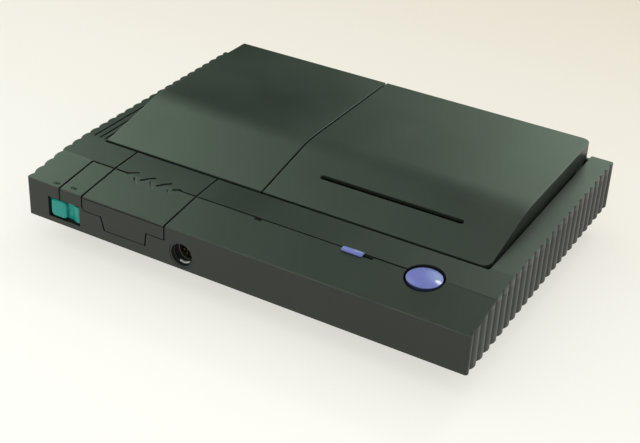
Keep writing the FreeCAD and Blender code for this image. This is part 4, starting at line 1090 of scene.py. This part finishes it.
@dataclass
class PowerSlider(Assembly):
    """The teal switch slider: a bulging thumb lobe, a deep notch and a ramp on one sliding plate."""

    low: float = 20.3 * MM
    high: float = 31.8 * MM
    front: float = -106.2 * MM
    seat: float = -103.8 * MM
    lobe: tuple[float, float] = (-129.6 * MM, -118.0 * MM)
    ramp: tuple[float, float] = (-116.4 * MM, -107.9 * MM)
    lobe_soft: float = 1.15 * MM
    plate_soft: float = 0.25 * MM
    ramp_soft: float = 0.45 * MM
    corner: float = 2.6 * MM

    def pillow(self) -> bpy.types.Object:
        """The thumb lobe: a slab with round corners and a rounded front.

        Returns:
            The lobe, finished but not yet placed.
        """
        left, right = self.lobe
        inset = self.corner
        corners = [((right - inset, self.high - inset), 0.0), ((left + inset, self.high - inset), 90.0),
                   ((left + inset, self.low + inset), 180.0), ((right - inset, self.low + inset), 270.0)]
        outline = [point for middle, start in corners
                   for point in arc(middle, inset, start, start + 90.0, 5)]
        shape = bmesh.new()
        prism(shape, outline, self.front, self.seat + 0.6 * MM, Along.DEPTH)
        return smooth(bevelled(mesh_object("slider_lobe", shape), self.lobe_soft, 5, 60.0), 40)

    def build(self) -> None:
        """Build the plate, the lobe and the ramp, and join them."""
        low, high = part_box("power_slider")
        plate = rounded_box("slider_plate", (low.x, self.seat, low.z + 0.1 * MM),
                            (high.x, high.y, high.z - 0.1 * MM), self.plate_soft, 2)
        lobe = self.pillow()
        shape = bmesh.new()
        start, end = self.ramp
        outline = [(start, self.seat + 0.4 * MM), (start + 1.2 * MM, self.seat + 0.1 * MM),
                   (start + 3.4 * MM, self.seat - 0.8 * MM), (end - 2.4 * MM, self.front + 0.55 * MM),
                   (end - 0.9 * MM, self.front + 0.75 * MM), (end, self.front + 1.7 * MM),
                   (end, self.seat + 0.4 * MM)]
        prism(shape, outline, self.low + 0.3 * MM, self.high - 0.5 * MM)
        ramp = bevelled(mesh_object("slider_ramp", shape), self.ramp_soft, 3, 20.0)
        self.place(merged("power_slider_grip", [plate, lobe, ramp]), "power", "teal_plastic",
                   "power_slider")


@dataclass
class ControllerPort(Assembly):
    """An earth spring low inside the round controller socket, whose pale non-metal finish is a painted glint
    of its metal.
    """

    outer: float = 6.3 * MM
    inner: float = 5.5 * MM
    reach: tuple[float, float] = (-116.0, -46.0)
    depth: tuple[float, float] = (-104.3 * MM, -103.3 * MM)

    def build(self) -> None:
        """Bend the spring to the socket's wall and place it."""
        low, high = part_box("pad_socket_shell")
        centre = ((low.x + high.x) / 2, (low.z + high.z) / 2)
        start, end = self.reach
        outline = arc(centre, self.outer, start, end, 14) + arc(centre, self.inner, end, start, 14)
        shape = bmesh.new()
        prism(shape, outline, *self.depth, Along.DEPTH)
        self.place(smooth(mesh_object("port_earth_spring", shape)), "case", "steel",
                   finish=self.shelf.spring_glint)


@dataclass
class TurntableGrip(Assembly):
    """Fine rubber ribs round the turntable's flange, which keep the disc from slipping."""

    ribs: int = 40
    inner: float = 9.6 * MM
    outer: float = 13.3 * MM
    wide: float = 0.5 * MM
    tall: float = 0.3 * MM
    sink: float = 0.05 * MM
    rim_search: float = 1.5 * MM

    def build(self) -> None:
        """Repeat one rib round the flange."""
        low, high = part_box("turntable")
        centre = Vector(((low.x + high.x) / 2, (low.y + high.y) / 2))
        flange = max(v.co.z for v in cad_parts["turntable"].data.vertices
                     if (v.co.xy - centre).length > self.outer - self.rim_search)
        middle, half = (self.inner + self.outer) / 2, (self.outer - self.inner) / 2
        outline = [(-self.wide / 2, -self.sink), *arc((0.0, 0.0), self.tall, 160.0, 20.0, 4),
                   (self.wide / 2, -self.sink)]
        shape = bmesh.new()
        prism(shape, outline, -half, half, Along.WIDTH)
        ribs = mesh_object("turntable_grip", shape)
        ring_tree().apply(ribs, self.shelf.material("rubber"), Count=self.ribs, Radius=middle,
                          Centre=(centre.x, centre.y, flange))
        self.place(smooth(ribs, 50), "spindle", "rubber")


@dataclass
class CadFinishes(Assembly):
    """Finishes for the CAD nodes that keep their own shape."""

    groups: dict[str, tuple[str, ...]] = field(default_factory=lambda: {
        "black_plastic": ("disc_well", "card_guide", "card_connector", "power_switch_body", "clamp_holder",
                          "clamp_puck", "pad_socket", "dc_jack", "av_socket", "headphone_jack",
                          "volume_wheel", "turntable", "pickup_sled", "latch_lever", "lock_bar",
                          "volume_pot"),
        "white_plastic": ("reduction_gear", "motor_pinion", "sled_rack"),
        "steel": ("pad_socket_shell", "case_screws", "shield_cover", "mech_chassis", "button_spring",
                  "card_door_spring", "sled_motor", "spindle_motor", "clamp_magnet"),
        "shaft_steel": ("lid_hinge_pins", "latch_pin", "card_door_pin", "guide_rods", "gear_post"),
        "aluminium": ("regulator_heatsink",),
        "brass": ("card_contacts", "pad_socket_pins", "dc_pin", "av_pins"),
        "rubber": ("rubber_feet", "damper_grommets"),
        "board": ("main_board",),
        "chip": ("board_chips",),
        "lens_glass": ("pickup_lens",),
        "led_clear": ("led_window", "power_led"),
    })

    def build(self) -> None:
        """Put each finish on its nodes' material slots."""
        for slot, names in self.groups.items():
            for name in names:
                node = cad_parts[name]
                if not node.material_slots:
                    node.data.materials.append(None)
                for place in node.material_slots:
                    place.material = self.shelf.material(slot)
            log.info("%s on %s", slot, ", ".join(names))


# Stage

@dataclass(frozen=True)
class RoomGlow:
    """A bright stretch of the room that only reflections see.

    The sides are four angles in degrees left of the rear, where it starts, is full, wanes and is gone. The
    heights are the angles in degrees above level between which it fades out.
    """

    strength: float
    sides: tuple[float, float, float, float]
    heights: Spot


ROOM_GLOWS = (
    RoomGlow(3.7, (42.0, 53.0, 75.0, 100.0), (50.0, 75.0)),
    RoomGlow(2.9, (-18.0, 0.0, 9.0, 26.0), (36.0, 58.0)),
    RoomGlow(0.55, (-181.0, -180.0, -45.0, -28.0), (70.0, 89.0)),
    RoomGlow(0.55, (100.0, 125.0, 180.0, 181.0), (70.0, 89.0)),
)


@dataclass
class Studio:
    """Camera, floor and lamps."""

    azimuth: float = 28.92
    elevation: float = 30.80
    roll: float = 2.86
    distance: float = 818.91 * MM
    slide: tuple[float, float] = (2.33 * MM, -5.90 * MM)
    focal_pixels: float = 1294.5
    image_wide: float = 640.0
    sensor: float = 36.0
    floor_near: Colour = (1.0, 1.0, 0.95)
    floor_far_shaded: Colour = (0.76, 0.71, 0.60)
    floor_glow: float = 0.66
    floor_half: float = 4.0
    ambient: float = 1.0
    backdrop: float = 1.0
    room_dim: float = 0.03
    near: float = 0.05
    far: float = 50.0

    def camera(self) -> None:
        """Set the camera where the photograph was taken from."""
        a, e, r = (math.radians(v) for v in (self.azimuth, self.elevation, self.roll))
        back = Vector((math.sin(a) * math.cos(e), -math.cos(a) * math.cos(e), math.sin(e)))
        level = Vector((0, 0, 1)).cross(back).normalized()
        upright = back.cross(level)
        right = level * math.cos(r) + upright * math.sin(r)
        up = upright * math.cos(r) - level * math.sin(r)
        turn = Matrix((right, up, back)).transposed()
        data = bpy.data.cameras.new("camera")
        data.sensor_width = self.sensor
        data.lens = self.focal_pixels * self.sensor / self.image_wide
        data.clip_start, data.clip_end = self.near, self.far
        camera = bpy.data.objects.new("camera", data)
        camera.matrix_world = Matrix.Translation(
            back * self.distance - right * self.slide[0] - up * self.slide[1]) @ turn.to_4x4()
        bpy.context.scene.collection.objects.link(camera)
        bpy.context.scene.camera = camera

    def floor(self) -> None:
        """Lay a pale floor that keeps the object's shadow, with painted shade that makes it darker and more
        beige towards the rear.
        """
        shape = bmesh.new()
        bmesh.ops.create_grid(shape, x_segments=2, y_segments=2, size=self.floor_half)
        floor = mesh_object("floor", shape)
        s = Sheet("floor")
        depth = s.add("ShaderNodeSeparateXYZ")
        s.put(depth, "Vector", s.place)
        # painted shade: the floor's colour turns darker and more beige towards the rear
        rear_shade = s.between(depth.outputs["Y"], -0.2, 0.5)
        colour = s.blend(rear_shade, self.floor_near, self.floor_far_shaded)
        s.put(s.shader, "Base Color", colour)
        s.put(s.shader, "Roughness", 0.6)
        s.put(s.shader, "Specular IOR Level", 0.2)
        glow = s.add("ShaderNodeEmission", Strength=1.0)
        s.put(glow, "Color", colour)
        path = s.add("ShaderNodeLightPath").outputs
        seen = s.maths("MAXIMUM", path["Is Camera Ray"],
                       s.maths("MAXIMUM", path["Is Glossy Ray"], path["Is Transmission Ray"]))
        glowing = s.maths("MULTIPLY", seen, self.floor_glow)
        surface = s.mixed(glowing, s.shader.outputs[0], glow.outputs[0])
        s.put(s.tree.nodes["Material Output"], "Surface", surface)
        floor.data.materials.append(s.material)

    def world(self) -> None:
        """A pale backdrop for the camera, a room for reflections, and a soft even light for the rest."""
        world = bpy.data.worlds.new("studio")
        bpy.context.scene.world = world
        s = Sheet("studio", world)
        # reflections see a dark room that is bright to the left and straight behind, and faint elsewhere
        way = s.add("ShaderNodeSeparateXYZ")
        s.put(way, "Vector", s.place)
        left_of_rear = s.maths("ARCTAN2", s.maths("MULTIPLY", way.outputs["X"], -1.0), way.outputs["Y"])
        above = s.maths("ARCSINE", way.outputs["Z"])
        lobes = []
        for glow in ROOM_GLOWS:
            rise, full, wane, gone = (math.radians(v) for v in glow.sides)
            lobe = s.maths("MULTIPLY", s.between(left_of_rear, rise, full),
                           s.between(left_of_rear, wane, gone, glow.strength, 0.0))
            low, high = (math.radians(v) for v in glow.heights)
            lobes.append(s.maths("MULTIPLY", lobe, s.between(above, low, high, 1.0, 0.0)))
        room = self.room_dim
        for lobe in lobes:
            room = s.maths("ADD", lobe, room)
        lights = {"even": ((0.97, 0.97, 0.94, 1.0), self.ambient),
                  "seen": ((0.97, 0.96, 0.92, 1.0), self.backdrop),
                  "room": ((0.74, 1.0, 0.76, 1.0), room)}
        shaders = {}
        for name, (colour, strength) in lights.items():
            shaders[name] = s.add("ShaderNodeBackground", Color=colour, Strength=strength).outputs[0]
        path = s.add("ShaderNodeLightPath").outputs
        unseen = s.mixed(path["Is Glossy Ray"], shaders["even"], shaders["room"])
        direct = s.maths("MAXIMUM", path["Is Camera Ray"], path["Is Transmission Ray"])
        s.add("ShaderNodeOutputWorld", Surface=s.mixed(direct, unseen, shaders["seen"]))

    def lamp(self, name: str, place: Point, size: float, power: float, target: Point,
             colour: Colour = (1.0, 0.98, 0.95)) -> None:
        """Hang a round soft lamp.

        Args:
            name: The lamp's name.
            place: Where it hangs.
            size: Its width.
            power: Its power in watts.
            target: The point that it faces.
            colour: The colour of its light.
        """
        data = bpy.data.lights.new(name, "AREA")
        data.shape, data.size, data.energy, data.color = "DISK", size, power, colour
        lamp = bpy.data.objects.new(name, data)
        lamp.location = place
        lamp.rotation_euler = (Vector(target) - Vector(place)).to_track_quat("-Z", "Y").to_euler()
        bpy.context.scene.collection.objects.link(lamp)

    def build(self) -> None:
        """Make the camera, the floor and the lights."""
        view = bpy.context.scene.view_settings
        view.view_transform = "Standard"
        self.camera()
        self.floor()
        self.world()
        self.lamp("rear_lamp", (0.118, 1.285, 1.22), 0.28, 4.6, target=(0.1, -0.08, 0.045))


def main() -> None:
    """Build the stage and every sub-assembly."""
    logging.basicConfig(level=logging.INFO, format="%(name)s: %(message)s")
    Studio().build()
    shelf = FinishShelf()
    for assembly in (CadFinishes, Housing, SwitchMarks, OpenButton, LockSlider, PowerSlider, ControllerPort,
                     TurntableGrip):
        assembly(shelf).build()


if __name__ == "__main__":
    main()
